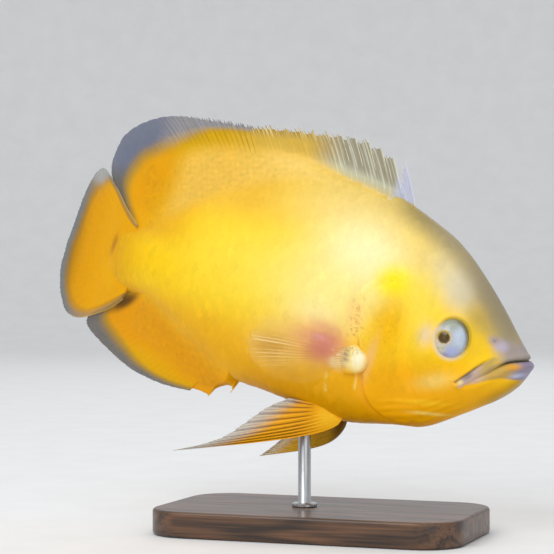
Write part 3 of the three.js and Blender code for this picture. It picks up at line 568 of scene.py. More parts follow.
def add_piece(name, points, faces, look, nodes=(), channels=None, places=None, inward=False):
    """A smooth closed piece on the root body, with its painted channels and its map for the finish.

    Its faces look outward, or into the piece if inward is set.
    """
    finish, slot = look
    faces = np.asarray(outward(points, faces), np.int32)
    if inward:
        faces = faces[:, ::-1]
    mesh = bpy.data.meshes.new(name)
    mesh.vertices.add(len(points))
    mesh.vertices.foreach_set("co", np.asarray(points, np.float32).ravel())
    mesh.loops.add(faces.size)
    mesh.loops.foreach_set("vertex_index", faces.ravel())
    mesh.polygons.add(len(faces))
    mesh.polygons.foreach_set("loop_start", np.arange(len(faces), dtype=np.int32) * faces.shape[1])
    mesh.update(calc_edges=True)
    mesh.polygons.foreach_set("use_smooth", np.ones(len(faces), bool))
    for channel, values in (channels or {}).items():
        values = np.asarray(values, np.float32).reshape(len(points), -1)
        if values.shape[1] == 3:
            layer = mesh.attributes.new(channel, "FLOAT_COLOR", "POINT")
            layer.data.foreach_set("color", np.insert(values, 3, 1, axis=1).ravel())
        else:
            layer = mesh.attributes.new(channel, "FLOAT", "POINT")
            layer.data.foreach_set("value", values.ravel())
    if places is not None:
        layer = mesh.uv_layers.new(name="OFBake")
        layer.data.foreach_set("uv", np.asarray(places, np.float32)[faces.ravel()].ravel())
    mesh.materials.append(finish)
    piece = bpy.data.objects.new(name, mesh)
    bpy.context.collection.objects.link(piece)
    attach(piece, "root")
    if nodes:
        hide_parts(*nodes)
    return piece


# Materials
def material(name, rough=0.4, coat=0.0, coat_rough=0.03, metal=0.0, shine=0.5):
    """A new node material with its shader. shine is how strongly the bare surface reflects."""
    made = bpy.data.materials.new(name)
    made.use_nodes = True
    shader = made.node_tree.nodes["Principled BSDF"]
    for socket, value in (("Roughness", rough), ("Coat Weight", coat), ("Coat Roughness", coat_rough),
                          ("Metallic", metal), ("Specular IOR Level", shine)):
        shader.inputs[socket].default_value = value
    return made, shader


def node(made, kind, **values):
    """A node with its sockets set, or linked where the value is another node's socket."""
    new = made.node_tree.nodes.new(kind)
    for key, value in values.items():
        if hasattr(new, key):
            setattr(new, key, value)
            continue
        socket = new.inputs[int(key[1:])] if key[0] == "i" and key[1:].isdigit() else new.inputs[key]
        if isinstance(value, bpy.types.NodeSocket):
            made.node_tree.links.new(value, socket)
        else:
            socket.default_value = value
    return new


def link(made, source, target):
    made.node_tree.links.new(source, target)


def object_noise(made, scale, detail=3.0, stretch=None):
    """Noise over the piece's own coordinates, with scale in waves a metre."""
    vector = node(made, "ShaderNodeTexCoord").outputs["Object"]
    if stretch:
        vector = node(made, "ShaderNodeMapping", Vector=vector, Scale=stretch).outputs[0]
    return node(made, "ShaderNodeTexNoise", Vector=vector, Scale=scale, Detail=detail).outputs["Fac"]


def spread(made, value, low, high):
    """The middle range of a noise brought to another range."""
    limits = {"From Min": 0.3, "From Max": 0.7, "To Min": low, "To Max": high}
    return node(made, "ShaderNodeMapRange", Value=value, **limits).outputs["Result"]


def bumped(made, shader, height, strength, depth):
    """A fine bump, with depth in millimetres."""
    bump = node(made, "ShaderNodeBump", Height=height, Strength=strength, Distance=depth * MM)
    link(made, bump.outputs["Normal"], shader.inputs["Normal"])


def painted(name, coat, coat_rough, shine, mottle, rough, grain=None, flesh=None, clear=False):
    """A surface with painted colours, and noise in their strength, in its gloss and in its grain.

    Each noise gives its waves a metre first. mottle goes on with its strength, rough with its least and
    its most, grain with its detail, strength and depth in millimetres. flesh is how much of the light
    sinks in, and how deep in metres. clear is set where the painted cover lets light through.
    """
    made, shader = material(name, coat=coat, coat_rough=coat_rough, shine=shine)
    colour = node(made, "ShaderNodeAttribute", attribute_name="tint").outputs["Color"]
    level = spread(made, object_noise(made, mottle[0]), 1 - mottle[1], 1 + mottle[1])
    mottled = node(made, "ShaderNodeVectorMath", operation="SCALE", i0=colour, Scale=level)
    link(made, mottled.outputs[0], shader.inputs["Base Color"])
    link(made, spread(made, object_noise(made, rough[0]), *rough[1:]), shader.inputs["Roughness"])
    if flesh:
        shader.inputs["Subsurface Weight"].default_value = flesh[0]
        shader.inputs["Subsurface Radius"].default_value = (1.0, 0.5, 0.15)
        shader.inputs["Subsurface Scale"].default_value = flesh[1]
    if clear:
        cover = node(made, "ShaderNodeAttribute", attribute_name="cover").outputs["Fac"]
        link(made, cover, shader.inputs["Alpha"])
    if grain:
        bumped(made, shader, object_noise(made, *grain[:2]), *grain[2:])
    return made


def two_colours(made, shader, value, low, high):
    """The surface's colour from a value: low and high are each a value and the colour there."""
    between = node(made, "ShaderNodeValToRGB", Fac=value)
    for stop, (position, shade) in zip(between.color_ramp.elements, (low, high)):
        stop.position, stop.color = position, (*seen(*shade), 1)
    link(made, between.outputs["Color"], shader.inputs["Base Color"])


def walnut_material():
    made, shader = material("stand_walnut", coat=0.25, coat_rough=0.15)
    rings = object_noise(made, 16, 2, (0.35, 3.0, 3.0))
    wave = node(made, "ShaderNodeMath", operation="MULTIPLY", i0=rings, i1=46.0)
    grain = node(made, "ShaderNodeMath", operation="SINE", i0=wave.outputs[0]).outputs[0]
    fine = object_noise(made, 240, 4, (0.12, 4.0, 4.0))
    both = node(made, "ShaderNodeMath", operation="MULTIPLY_ADD", i0=grain, i1=0.16, i2=fine).outputs[0]
    two_colours(made, shader, both, (0.28, (42, 27, 18)), (0.78, (106, 72, 46)))
    link(made, spread(made, fine, 0.3, 0.5), shader.inputs["Roughness"])
    bumped(made, shader, both, 0.4, 0.1)
    return made


def steel_material():
    made, shader = material("stand_steel", metal=1.0)
    brushed = object_noise(made, 500, 3, (6.0, 6.0, 0.15))
    two_colours(made, shader, brushed, (0.3, (160, 163, 167)), (0.7, (204, 206, 208)))
    link(made, spread(made, brushed, 0.22, 0.38), shader.inputs["Roughness"])
    bumped(made, shader, brushed, 0.2, 0.02)
    return made


# Each look is a material and a slot name; add_piece uses only the material
FIN_FINISH = {
    "mottle": (600, 0.03), "rough": (800, 0.34, 0.52), "grain": (2200, 3, 0.35, 0.08), "clear": True}
SKIN = (painted("oscar_skin", 0.06, 0.18, 0.12, (260, 0.025), (420, 0.34, 0.5), (1500, 4, 0.35, 0.12),
                (0.12, 0.0025)), "skin")
SCALES = (painted("oscar_scales", 0.07, 0.16, 0.12, (500, 0.025), (700, 0.3, 0.46), (2600, 3, 0.3, 0.08),
                  (0.1, 0.002)), "skin")
FIN = (painted("oscar_fin", 0.04, 0.2, 0.1, **FIN_FINISH), "fin")
CLEAR_FIN = (painted("oscar_clear_fin", 0.1, 0.2, 0.1, **FIN_FINISH), "clear_fin")
EYE_LOOK = (painted("oscar_eye", 0.5, 0.03, 0.3, (1800, 0.06), (2500, 0.16, 0.3)), "eye")
WALNUT = (walnut_material(), "stand_wood")
STEEL = (steel_material(), "stand_steel")

# The skin
FRONT_ANGLES = np.radians(np.linspace(6, 88, 15))
STATIONS = np.concatenate([
    np.linspace(STALK_END, 138, 112),
    np.linspace(138.6, 170, 52),
    np.linspace(170.4, SNOUT_END - SNOUT_ROUNDING, 122),
    SNOUT_END - SNOUT_ROUNDING + SNOUT_ROUNDING * np.sin(FRONT_ANGLES),
])
HALF_COUNT = 161  # points from the back to the belly on one side
FINE = 1200  # steps in which a section's half is first drawn


def half_sections(stations, count, weight):
    """Each section's right half from the back to the belly, as (side, h), closer where weight is more."""
    level, up, down, half = (x[:, None] for x in section(stations))
    angle = np.linspace(math.pi / 2, -math.pi / 2, FINE)[None, :]
    above = np.sin(angle) >= 0
    power = 2 / np.where(above, square_above(stations)[:, None], square_below(stations)[:, None])
    h = level + np.sign(np.sin(angle)) * np.where(above, up, down) * np.abs(np.sin(angle)) ** power
    side = half * np.abs(np.cos(angle)) ** power
    made = np.zeros((len(stations), count, 2))
    for row, s in enumerate(stations):
        step = np.hypot(np.diff(h[row]), np.diff(side[row]))
        heavy = np.concatenate([[0], np.cumsum(step * weight(s, h[row, 1:]))])
        at = np.linspace(0, heavy[-1], count)
        made[row] = np.stack([np.interp(at, heavy, side[row]), np.interp(at, heavy, h[row])], -1)
    return made


def body_points(stations, count, weight):
    """Rings of the body, right half then left half, before and after the relief."""
    side, h = np.moveaxis(half_sections(stations, count, weight), -1, 0)
    s = np.repeat(stations[:, None], count, axis=1)
    left = np.stack([s, side, h], -1)[:, -2:0:-1]
    ring = np.concatenate([np.stack([s, -side, h], -1), left], axis=1)
    normal = normals_of(ring, wrap=True)
    out = ring - np.array([0, 0, 1]) * widest_at(ring[..., :1])
    facing = np.sign(np.sum(normal[..., 1:] * out[..., 1:], axis=-1).mean())
    thin = np.clip(half_width(ring[..., 0]) / 3, 0, 1)
    return ring, ring + normal * (facing * relief(ring[..., 0], ring[..., 2]) * thin)[..., None]


def head_weight(s, h):
    """How much closer the points are: up to 3.2 times as close on the side of the head."""
    return 1 + ramp(s, 145, 178) * 2.2 * bell(h + 2, 15)


def skin():
    ring, points = body_points(STATIONS, HALF_COUNT, head_weight)
    everything, faces = tube(points, points[0].mean(axis=0), points[-1].mean(axis=0))
    tint = body_tint(ring[..., 0], ring[..., 2])
    tint = np.vstack([tint.reshape(-1, 3), tint[0].mean(axis=0), tint[-1].mean(axis=0)])
    rows, columns = points.shape[:2]
    j, i = np.meshgrid(np.linspace(0.01, 0.99, rows), np.linspace(0.005, 0.995, columns), indexing="ij")
    places = np.vstack([np.stack([j, i], -1).reshape(-1, 2), [(0.005, 0.5), (0.995, 0.5)]])
    nodes = ["head", "upper_jaw", "lower_jaw", "gill_cover_right", "gill_cover_left", "trunk", "tail_stalk"]
    add_piece("body_skin", posed(everything), faces, SKIN, nodes, {"tint": tint}, places)


skin()

# Scales
COVER_STATIONS = np.linspace(-9, 214, 300)
COVER_COUNT = 261


class Cover:
    """The skin's right side as an even grid, read by s and by the distance round from the widest line."""

    def __init__(self):
        ring, points = body_points(COVER_STATIONS, COVER_COUNT, lambda s, h: 1.0 + 0 * h)
        self.plain = ring[:, :COVER_COUNT]
        self.points = points[:, :COVER_COUNT]
        self.normals = normals_of(self.points)
        if self.normals[len(ring) // 2, COVER_COUNT // 2, 1] > 0:
            self.normals = -self.normals
        step = np.linalg.norm(np.diff(self.plain[..., 1:], axis=1), axis=-1)
        arc = np.concatenate([np.zeros((len(COVER_STATIONS), 1)), np.cumsum(step, axis=1)], axis=1)
        middle = 6 - 0.02 * COVER_STATIONS
        self.zero = np.array([np.interp(-m, -row, a) for m, row, a in zip(middle, self.plain[..., 2], arc)])
        self.full = arc[:, -1]

    def reach(self, s):
        """The distances round to the back and to the belly at each s."""
        zero = np.interp(s, COVER_STATIONS, self.zero)
        return zero, np.interp(s, COVER_STATIONS, self.full) - zero

    def read(self, grid, s, w):
        rows = len(COVER_STATIONS)
        row = np.clip(np.interp(s, COVER_STATIONS, np.arange(rows)), 0, rows - 1.001)
        j = row.astype(int)
        fj = (row - j)[..., None]
        values = 0
        for step, weight in ((0, 1 - fj), (1, fj)):
            share = (self.zero[j + step] - w) / self.full[j + step]
            column = np.clip(share * (COVER_COUNT - 1), 0, COVER_COUNT - 1.001)
            i = column.astype(int)
            fi = (column - i)[..., None]
            values = values + weight * (grid[j + step, i] * (1 - fi) + grid[j + step, i + 1] * fi)
        return values


COVER = Cover()
TALLEST = COVER.full.max()


def disc_grid(count):
    """A round patch as a square grid of points, from -1 to 1."""
    b, a = np.meshgrid(np.linspace(-1, 1, count), np.linspace(-1, 1, count))
    return b * np.sqrt(1 - a * a / 2), a * np.sqrt(1 - b * b / 2)


def per_scale(values):
    return values[:, None, None]


def scale_piece(name, tops, roots, tint, places, sharp, way=1, inward=False):
    """One piece of many scales. Each has a grid of points for its top and one root point below the skin.

    places are the middles of the scales on the map, and way is -1 where their free edges lie back on it.
    Edges show from the angle sharp, in degrees.
    """
    total, count = tops.shape[:2]
    size = count * count
    points = np.concatenate([tops.reshape(total, size, 3), roots[:, None]], axis=1)
    tint = tint.reshape(total, size, 3)
    tint = np.concatenate([tint, tint.mean(axis=1, keepdims=True)], axis=1)
    x, y = disc_grid(count)
    spots = np.vstack([np.column_stack([way * x.ravel(), y.ravel()]), [0, 0]])
    places = places[:, None] + 0.0015 * spots
    rim = grid_rim(count, count)
    under = np.stack([np.roll(rim, -1), rim, np.full(len(rim), size)], -1)
    one = np.vstack([split(grid_quads(count, count)), under])
    faces = (one + per_scale(np.arange(total)) * (size + 1)).reshape(-1, 3)
    piece = add_piece(name, posed(points.reshape(-1, 3)), faces, SCALES, (), {"tint": tint},
                      places.reshape(-1, 2), inward)
    piece.data.set_sharp_from_angle(angle=math.radians(sharp))


def lay_scales(name, centres, along, across, lift, count, side):
    """Overlapping scales on one side, each with its free edge towards the tail."""
    total = len(centres)
    x, y = disc_grid(count)
    s0, w0 = per_scale(centres[:, 0]), per_scale(centres[:, 1])
    turn = per_scale(rng.normal(0, 0.05, total))
    wide = per_scale(across * rng.uniform(0.94, 1.06, total))
    long = per_scale(along * rng.uniform(0.94, 1.06, total))
    reach = x * (1 + 0.10 * (1 - y * y))
    s = s0 - (reach * long + y * turn * wide)
    w = w0 + y * wide - reach * turn * long
    tilt = 0.95 + 0.10 * per_scale(rng.normal(0, 1, total))
    height = per_scale(lift) * (0.15 + tilt * x - 0.25 * y * y)
    flip = np.array([1, -side, 1])
    tops = (COVER.read(COVER.points, s, w) + COVER.read(COVER.normals, s, w) * height[..., None]) * flip
    roots = (COVER.read(COVER.points, *centres.T) - 0.8 * COVER.read(COVER.normals, *centres.T)) * flip
    plain = COVER.read(COVER.plain, s, w)
    edge = 1 - 0.02 * ramp(x, 0.80, 1.0) + 0.02 * ramp(x, 0.2, 0.7)
    uneven = per_scale(rng.normal(1, 0.02, total))[..., None]
    tint = body_tint(plain[..., 0], plain[..., 2]) * uneven * edge[..., None]
    round_at = 0.5 + side * (0.25 + 0.235 * centres[:, 1] / (TALLEST * 0.62))
    places = np.stack([0.03 + 0.94 * (centres[:, 0] + 15) / 240, round_at], -1)
    scale_piece(name, tops, roots, tint, places, 50, way=-1, inward=True)


def lattice(s_from, s_to, pitch_at, row_at, w_from, w_to):
    """Centres of scales in rows that run along the fish, every second column shifted by half a row."""
    centres = []
    s = s_from
    column = 0
    while s > s_to:
        row = row_at(s)
        for j in range(math.floor(w_from / row), math.ceil(w_to / row) + 1):
            if (j + column) % 2 == 0:
                centres.append((s, j * row))
        s -= pitch_at(s) / 2
        column += 1
    return np.array(centres)


def body_scales(side, word):
    pitch_at = profile([(-10, 3.2), (10, 3.5), (60, 4.3), (120, 4.9), (150, 4.6), (185, 3.8)])
    row_at = profile([(-10, 2.5), (10, 2.6), (60, 2.95), (120, 3.15), (150, 3.0), (185, 2.6)])
    centres = lattice(184, -6.5, pitch_at, row_at, -80, 90)
    centres = centres + rng.normal(0, 0.06, centres.shape)
    s, w = centres.T
    up, down = COVER.reach(s)
    h = COVER.read(COVER.plain, s, w)[:, 2]
    margin = near(GILL_MARGIN, s, h)[0]
    behind = (s < 140) | (~inside(GILL_OUTLINE, s, h) & (margin > 3.2) & (s < 156))
    nape = (s >= 140) & (s < 186) & (s < 172 + 0.25 * (h - 27)) & (h > 27.5 + np.maximum(0.22 * (s - 150), 0))
    keep = (behind | nape) & (w < up - 1.2) & (w > 1.4 - down) & (s > 0.02 * (h - 2) ** 2 - 5)
    keep &= np.hypot((s - 141) / 7, (h + 14) / 9) >= 1  # none under the breast fin's lobe
    keep &= ~((s > 140) & (h < -20) & (margin < 5))
    keep &= ~((s > 14) & (s < 140) & (h > back(s) - FILLET + 1))
    keep &= ~((s > 22) & (s < 72) & (h < belly(s) + FILLET - 1))
    s, w = s[keep], w[keep]
    lift = 0.16 * (1 - 0.5 * ramp(s, 150, 175)) * (1 - 0.3 * fade(s, -5, 20))
    for part, chosen in zip(("front", "rear"), np.array_split(np.argsort(-s), 2)):
        lay_scales("scales_%s_%s" % (part, word), np.column_stack([s, w])[chosen], 0.96 * pitch_at(s[chosen]),
                   1.28 * row_at(s[chosen]), lift[chosen], 9, side)


def face_scales(side, word):
    """Smaller scales on the cheek and on the gill cover."""
    pitch, row, lift = 3.3, 2.15, 0.08
    centres = lattice(186, 144, lambda s: pitch, lambda s: row, -60, 60)
    centres = centres + rng.normal(0, 0.08, centres.shape)
    s, w = centres.T
    h = COVER.read(COVER.plain, s, w)[:, 2]
    margin, edge = near(GILL_MARGIN, s, h)[0], near(GILL_FRONT, s, h)[0]
    covered = inside(GILL_OUTLINE, s, h)
    eye = np.hypot(s - EYE.s, h - EYE.h)
    cover = covered & (margin > 2.6) & (edge > 3.0) & (h > -24)
    cheek = ~covered & (s > 165) & (s < 186) & (edge > 4.4) & (eye > 12.8)
    cheek &= (h > -17) & (h < 10 - 0.2 * (s - 165))
    temple = ~covered & (s > 156) & (s < 176) & (edge > 2.6) & (eye > 13) & (h > 12) & (h < 28)
    chosen = np.column_stack([s, w])[cover | cheek | temple]
    ones = np.ones(len(chosen))
    lay_scales("scales_face_" + word, chosen, 0.98 * pitch * ones, 1.26 * row * ones, lift * ones, 7, side)


for which_side, word in SIDES:
    body_scales(which_side, word)
    face_scales(which_side, word)


# Fins
def fin_grid(columns, rows):
    """u runs along a fin's root and v out to its edge, both from 0 to 1."""
    return np.meshgrid(np.linspace(0, 1, columns), np.linspace(0, 1, rows))


def ray_pattern(u, v, count, split_at=0.42, second=0.72, width=0.085):
    """Height of the rays from 0 to 1, with each ray forking twice."""
    place = u * (count - 1)
    offset = place - np.round(place)
    first = 0.205 * ramp(v, split_at, split_at + 0.34)
    again = 0.10 * ramp(v, second, second + 0.26)
    slim = width * (1 - 0.45 * v)
    return np.max([bell(offset - a * first - b * again, slim) for a in (-1, 1) for b in (-1, 1)], axis=0)


def creases(u, count, seed):
    """Fine dark lines between the rays, each of its own strength."""
    place = u * (count - 1) * 2 + 0.5
    strength = np.random.default_rng(seed).uniform(0.35, 1, 2 * count + 2)[np.round(place).astype(int)]
    return bell(place - np.round(place), 0.13) * strength


def fibres(place, v, length, seed, each=5):
    """Pale fibres in fin skin, like brushed hair: 1 along each of them and 0 between."""
    fibre_rng = np.random.default_rng(seed)
    total = np.zeros(np.shape(place))
    for k in range(each * length):
        at = (k + fibre_rng.uniform(-0.2, 1.2)) / each
        lean, width, strength = fibre_rng.uniform((0.02, 0.02, 0.25), (0.6, 0.085, 1.0))
        start = fibre_rng.uniform(0.0, 0.5)
        line = bell(place - at - lean * (v - 0.5) * np.abs(v - 0.2), width * (1.15 - 0.5 * v))
        total = np.maximum(total, strength * line * ramp(v, start, start + 0.2))
    return total


def fray(u, v, ridge, depth, seed):
    """How far each row reaches: all but the last ones in full, with the skin notched between rays."""
    fringe = 0.5 * ripple(u * 400, 0 * u, 9, seed) + 0.5
    return 1 - ramp(v, 0.82, 1.0) * depth * ((1 - ridge) * 0.8 + 0.5 * fringe)


def cover_for(opacity):
    """The cover of one face of a thin sheet that looks this opaque through both of its faces."""
    return np.where(opacity > 0.995, 1.0, 1 - np.sqrt(1 - np.clip(opacity, 0, 0.999)))


def sheet_piece(name, middle, across, half, tint, cover, look, nodes):
    """A fin as one closed sheet about its middle surface, with colours on both faces."""
    points, faces = closed_sheet(middle - across * half[..., None], middle + across * half[..., None])
    rows, columns = half.shape
    u, v = fin_grid(columns, rows)
    places = np.concatenate([np.stack([start + 0.46 * u, 0.02 + 0.96 * v], -1).reshape(-1, 2)
                             for start in (0.02, 0.52)])
    both = {"tint": np.concatenate([tint.reshape(-1, 3)] * 2), "cover": np.concatenate([cover.ravel()] * 2)}
    add_piece(name, posed(points), faces, look, nodes, both, places)


def fillet(s, h, outline, way):
    """Half the thickness of the flesh that runs from the body's side up a fin without a crease."""
    start = outline(s) - way * FILLET
    wide = np.maximum(side_at(s, start) - INSET, 0.05)
    slope = side_at(s, start - 0.5 * way) - side_at(s, start + 0.5 * way)
    past = way * (h - start)
    climbing = wide * np.exp(-past * np.maximum(slope, 0.02) / wide)
    hidden = np.maximum(side_at(s, h) - INSET - 0.8 * ramp(-past, 0, 1.6), 0.05)
    return np.where(past > 0, climbing, np.minimum(hidden, wide + 4))


class Median:
    """The back fin or the anal fin: how it sways, and how the body's scaled flesh climbs it.

    way is 1 on the back and -1 on the belly. sheath is the height that the flesh reaches, and proud how
    far it stands out of the fin's skin. It thins out towards the rear over the range thin, and behind
    first it follows the body's outline no further. bare_from is how far past the sheath rays start to
    show. waves holds
    the fin's height, the size, length and phase of its waves, and how far and where its rear leans.
    """

    def __init__(self, outline, way, sheath, proud, first, thin, bare_from, waves):
        self.outline, self.way, self.sheath, self.proud = outline, way, sheath, proud
        self.first, self.thin, self.bare_from, self.waves = first, thin, bare_from, waves

    def beyond(self, s, h):
        """How far each point is past the sheath."""
        return self.way * (h - self.sheath(s))

    def sway(self, s, h):
        tall, size, length, phase, lean, lean_range = self.waves
        share = np.maximum(self.way * (h - self.outline(s)), 0) / tall
        return share * (size * np.sin(s / length + phase) + lean * fade(s, *lean_range))

    def swell(self, s, h):
        inner = np.maximum(s, self.first)
        past = self.way * (h - self.outline(inner))
        bare = ramp(self.beyond(s, h), -5, 3) * ramp(past, -4, 2)
        flesh = fillet(inner, h, self.outline, self.way) + self.proud * ramp(past, -4, 5) - FIN_HALF
        return np.maximum(flesh * (1 - 0.92 * bare), 0) * mix(0.2, 1, ramp(s, *self.thin))

    def bare(self, s, h):
        """Where the rays stand out: above the scaled flesh."""
        return ramp(self.beyond(s, h), self.bare_from, 5)


DORSAL = Median(back, 1, profile([
    (-20, 38), (0, 49), (20, 57), (34, 62.6), (46, 66), (60, 67.7), (80, 69.6), (96, 69.4), (109, 67.4),
    (117, 65.6), (130, 63.2), (153, 57)]), 0.5, 12.0, (0, 20), -3, (40, 1.6, 17, 0, 3, (-25, 30)))
ANAL = Median(belly, -1, profile([
    (-20, -26), (0, -26), (20, -32), (40, -40), (60, -45.6), (72, -47.5), (84, -46)]),
    0.45, 20.0, (8, 26), -2, (30, 1.2, 15, 1, 2.6, (-20, 25)))
TAIL = SimpleNamespace(
    sway=lambda s, h: -0.8 * ramp(-s, 0, 40) + 1.2 * np.sin(h / 14) * ramp(-s, 5, 45),
    swell=lambda s, h: 2.3 * ramp(s, -22, 3),
    bare=lambda s, h: ramp(-s, 10, 20))

DORSAL_EDGE = [
    (DORSAL_JOIN.edge, 80.6), (47, 80), (30, 79), (14, 77.2), (0, 74), (-13, 68), (-21, 61.5), (-24.8, 53),
    (-24.6, 42.8), (-18.4, 35.2), (-9.2, 27.8), (-0.5, 21.6)]
ANAL_EDGE = [
    (ANAL_JOIN.edge, -51.8), (44, -52.6), (30, -52), (16, -50.2), (2, -46.4), (-11, -41.6), (-20, -36.6),
    (-19, -30.6), (-9.4, -26.2), (-1.6, -20.8), (4, -15.8)]
CAUDAL_ROOT = [(9, 15), (0, 8.5), (-2, 1), (-1, -5.5), (9, -10)]
CAUDAL_EDGE = [
    (5, 20.6), (-4, 25.9), (-13, 32.9), (-23.6, 40.8), (-29.6, 43.4), (-35.6, 39.2), (-42.4, 27), (-46.4, 10),
    (-47.8, -6), (-45.2, -20), (-38, -31), (-30, -34.4), (-21.4, -33.4), (-10.5, -28.6),
    (-2, -24.1), (5, -18.4)]


def soft_fin(name, fin, root, edge, rays, bow, ridge_height, tint_of, node_name, rows=58, front_fray=0.012):
    """A fin of soft rays from its root line to its edge. bow is how far the rays bend forwards."""
    u, v = fin_grid((rays - 1) * PER_RAY + 1, rows)
    v = v ** 0.92
    ridge = ray_pattern(u, v, rays)
    along = v * fray(u, v, ridge, mix(front_fray, 0.01, ramp(u, 0.1, 0.4)), 41)
    start, end = spline(root)(u), spline(edge)(u)
    s = mix(start[..., 0], end[..., 0], along)
    s = s + bow * np.sin(math.pi * np.minimum(u * 1.2, 1)) * 4 * v * (1 - v)
    h = mix(start[..., 1], end[..., 1], along)
    left = (1 - v) * np.linalg.norm(end - start, axis=-1)
    half = FIN_HALF + ridge_height * ridge * (1 - 0.5 * v) * fin.bare(s, h) + fin.swell(s, h)
    half = half * (1 - 0.55 * ramp(v, 0.9, 1.0))
    side = fin.sway(s, h) + 0.22 * ripple(s, h, 11, 47) * ramp(v, 0.3, 0.9)
    tint, cover = tint_of(u, v, s, h, left)
    sheet_piece(name, np.stack([s, side, h], -1), np.array([0, 1, 0]), half, tint, cover, FIN, [node_name])


def crest_tint(s, h):
    """The colour of the back fin before its margin and its rays, the same on its stiff and soft parts."""
    inner = np.maximum(s, 14)
    above = h - back(s)
    crest = Paint(s, h, body_tint(inner, np.minimum(h, back(inner) - 2)))
    mottle = 1 + 0.05 * ripple(s, 1.5 * h, 4.2, 95) * ramp(above, -4, 4) * ramp(s, 8, 30)
    cream = shades((232, 184, 72), (240, 200, 98), ramp(s, 50, 100)) * mottle[..., None]
    crest.lay(cream, ramp(above, -7, 6) * ramp(s, 14, 34))
    crest.lay(shades((204, 158, 8), (212, 174, 66), ramp(s, 44, 78)), ramp(DORSAL.beyond(s, h), -5, 6))
    crest.spots(((220, 152, 0), 1, (5, 43), (15, 23), -25, 3))
    return crest.colour


def anal_base_tint(s, h):
    inner = np.maximum(s, 18)
    base = Paint(s, h, body_tint(inner, np.maximum(h, belly(inner) + 2)))
    base.lay((222, 150, 0), ramp(belly(s) - h, -5, 5))
    base.spots(((218, 164, 0), 0.7, (30, -44), (26, 6), -8, 3))
    return base.colour


def dorsal_tint(u, v, s, h, left):
    fin = Paint(s, h, crest_tint(s, h))
    width = np.interp(u, [0, 0.1, 0.22, 0.3, 0.37, 0.45, 0.55, 0.66, 0.76, 0.84, 0.92, 1],
                      [2.5, 3.6, 6, 9.5, 12.5, 15.5, 17.5, 17, 14.5, 12, 9, 6])
    blur = mix(2.4, 6, ramp(u, 0.15, 0.5))
    crease = creases(u, DORSAL_RAYS, 71)
    fin.lay((132, 96, 20), ramp(left, 1, 4) * fade(left, 10, 21) * ramp(s, -6, 14) * crease * 0.7)
    fibre = fibres(u * (DORSAL_RAYS - 1), v, DORSAL_RAYS - 1, 73, 4)
    tips = fade(left, 2, 9) * ramp(s, 22, 52)
    fin.lay((150, 120, 50), tips * (1 - fibre) * 0.3)
    fin.lay((226, 208, 150), tips * fibre * 0.5)
    margin = fade(left, width - blur, width + blur)
    fin.lay((170, 134, 30), fade(left, width, width + blur + 3) * 0.6)
    outer = shades((116, 108, 92), (108, 114, 134), ramp(margin, 0.5, 1))
    outer = mix(outer, seen(140, 138, 140), ramp(s, 0, 18)[..., None])
    fin.lay(mix(outer, seen(100, 96, 86), ramp(50 - h, 0, 14)[..., None]), margin)
    fin.lay((96, 94, 98), margin * crease * ramp(s, -2, 14) * 0.5)
    fin.lay((182, 184, 196), margin * fibre * ramp(s, 0, 20) * 0.5)
    return fin.colour, cover_for(1 - 0.1 * margin * ramp(left, width, 0))


def anal_tint(u, v, s, h, left):
    fin = Paint(s, h, anal_base_tint(s, h))
    width = np.interp(u, [0, 0.1, 0.24, 0.37, 0.5, 0.61, 0.7, 0.8, 0.9, 1],
                      [1, 2.4, 4, 6, 8.5, 11, 13, 14, 12, 7])
    blur = mix(2.4, 6.5, ramp(u, 0.2, 0.65))
    margin = fade(left, width - blur, width + blur)
    fin.lay((196, 158, 8), fade(left, width, width + 7) * 0.6)
    fin.lay(shades((104, 92, 60), (102, 98, 94), ramp(margin, 0.5, 1)), margin)
    # Painted shadow: a dark brown wedge near the stalk, where the tail fin overlaps the rear of this fin.
    fin.spots(((84, 54, 18), 0.95, (7, -18.8), (11, 2.9), 33, 3))
    fin.lay((170, 116, 4), creases(u, ANAL_RAYS, 75) * ramp(v, 0.3, 0.8) * 0.14)
    return fin.colour, cover_for(1 - 0.1 * margin)


def caudal_tint(u, v, s, h, left):
    fin = tail_base_tint(s, h)
    fin.lay((214, 150, 0), ramp(-s, 14, 30))
    fin.lay((150, 104, 0), ramp(-s, 28, 47))
    outer = ramp(u, 0.1, 0.22) * fade(u, 0.72, 0.86)
    margin = fade(left, 0, 11) * ramp(v, 0.45, 0.7)
    fin.lay(shades((124, 112, 66), (108, 118, 122), ramp(margin, 0.3, 0.85)), margin * mix(0.45, 1, outer))
    tip = patch(s, h, (-30, 41), (11, 8), 35, 2.6)
    fin.lay(shades((160, 132, 74), (166, 168, 166), ramp(tip, 0.3, 0.9)), tip)
    fin.lay((226, 196, 104), fade(left, 0, 1.6) * (1 - outer) * ramp(v, 0.5, 0.7) * 0.75)
    fin.lay((180, 116, 0), creases(u, CAUDAL_RAYS, 77) * ramp(v, 0.35, 0.9) * 0.12)
    return fin.colour, cover_for(1 - 0.1 * margin)


DORSAL_ROOT = [(s, back(s) - ROOT_DEPTH) for s in (DORSAL_JOIN.root, 56, 33, 12)]
ANAL_ROOT = [(s, belly(s) + ROOT_DEPTH) for s in (ANAL_JOIN.root, 55.5, 37, 17)]
soft_fin("dorsal_soft", DORSAL, DORSAL_ROOT, DORSAL_EDGE, DORSAL_RAYS, 3, 0.11, dorsal_tint,
         "dorsal_fin_soft", front_fray=0.05)
soft_fin("anal_soft", ANAL, ANAL_ROOT, ANAL_EDGE, ANAL_RAYS, 2, 0.08, anal_tint,
         "anal_fin_soft", rows=46)
soft_fin("caudal_rays", TAIL, CAUDAL_ROOT, CAUDAL_EDGE, CAUDAL_RAYS, 0, 0.08, caudal_tint,
         "caudal_fin", rows=54)

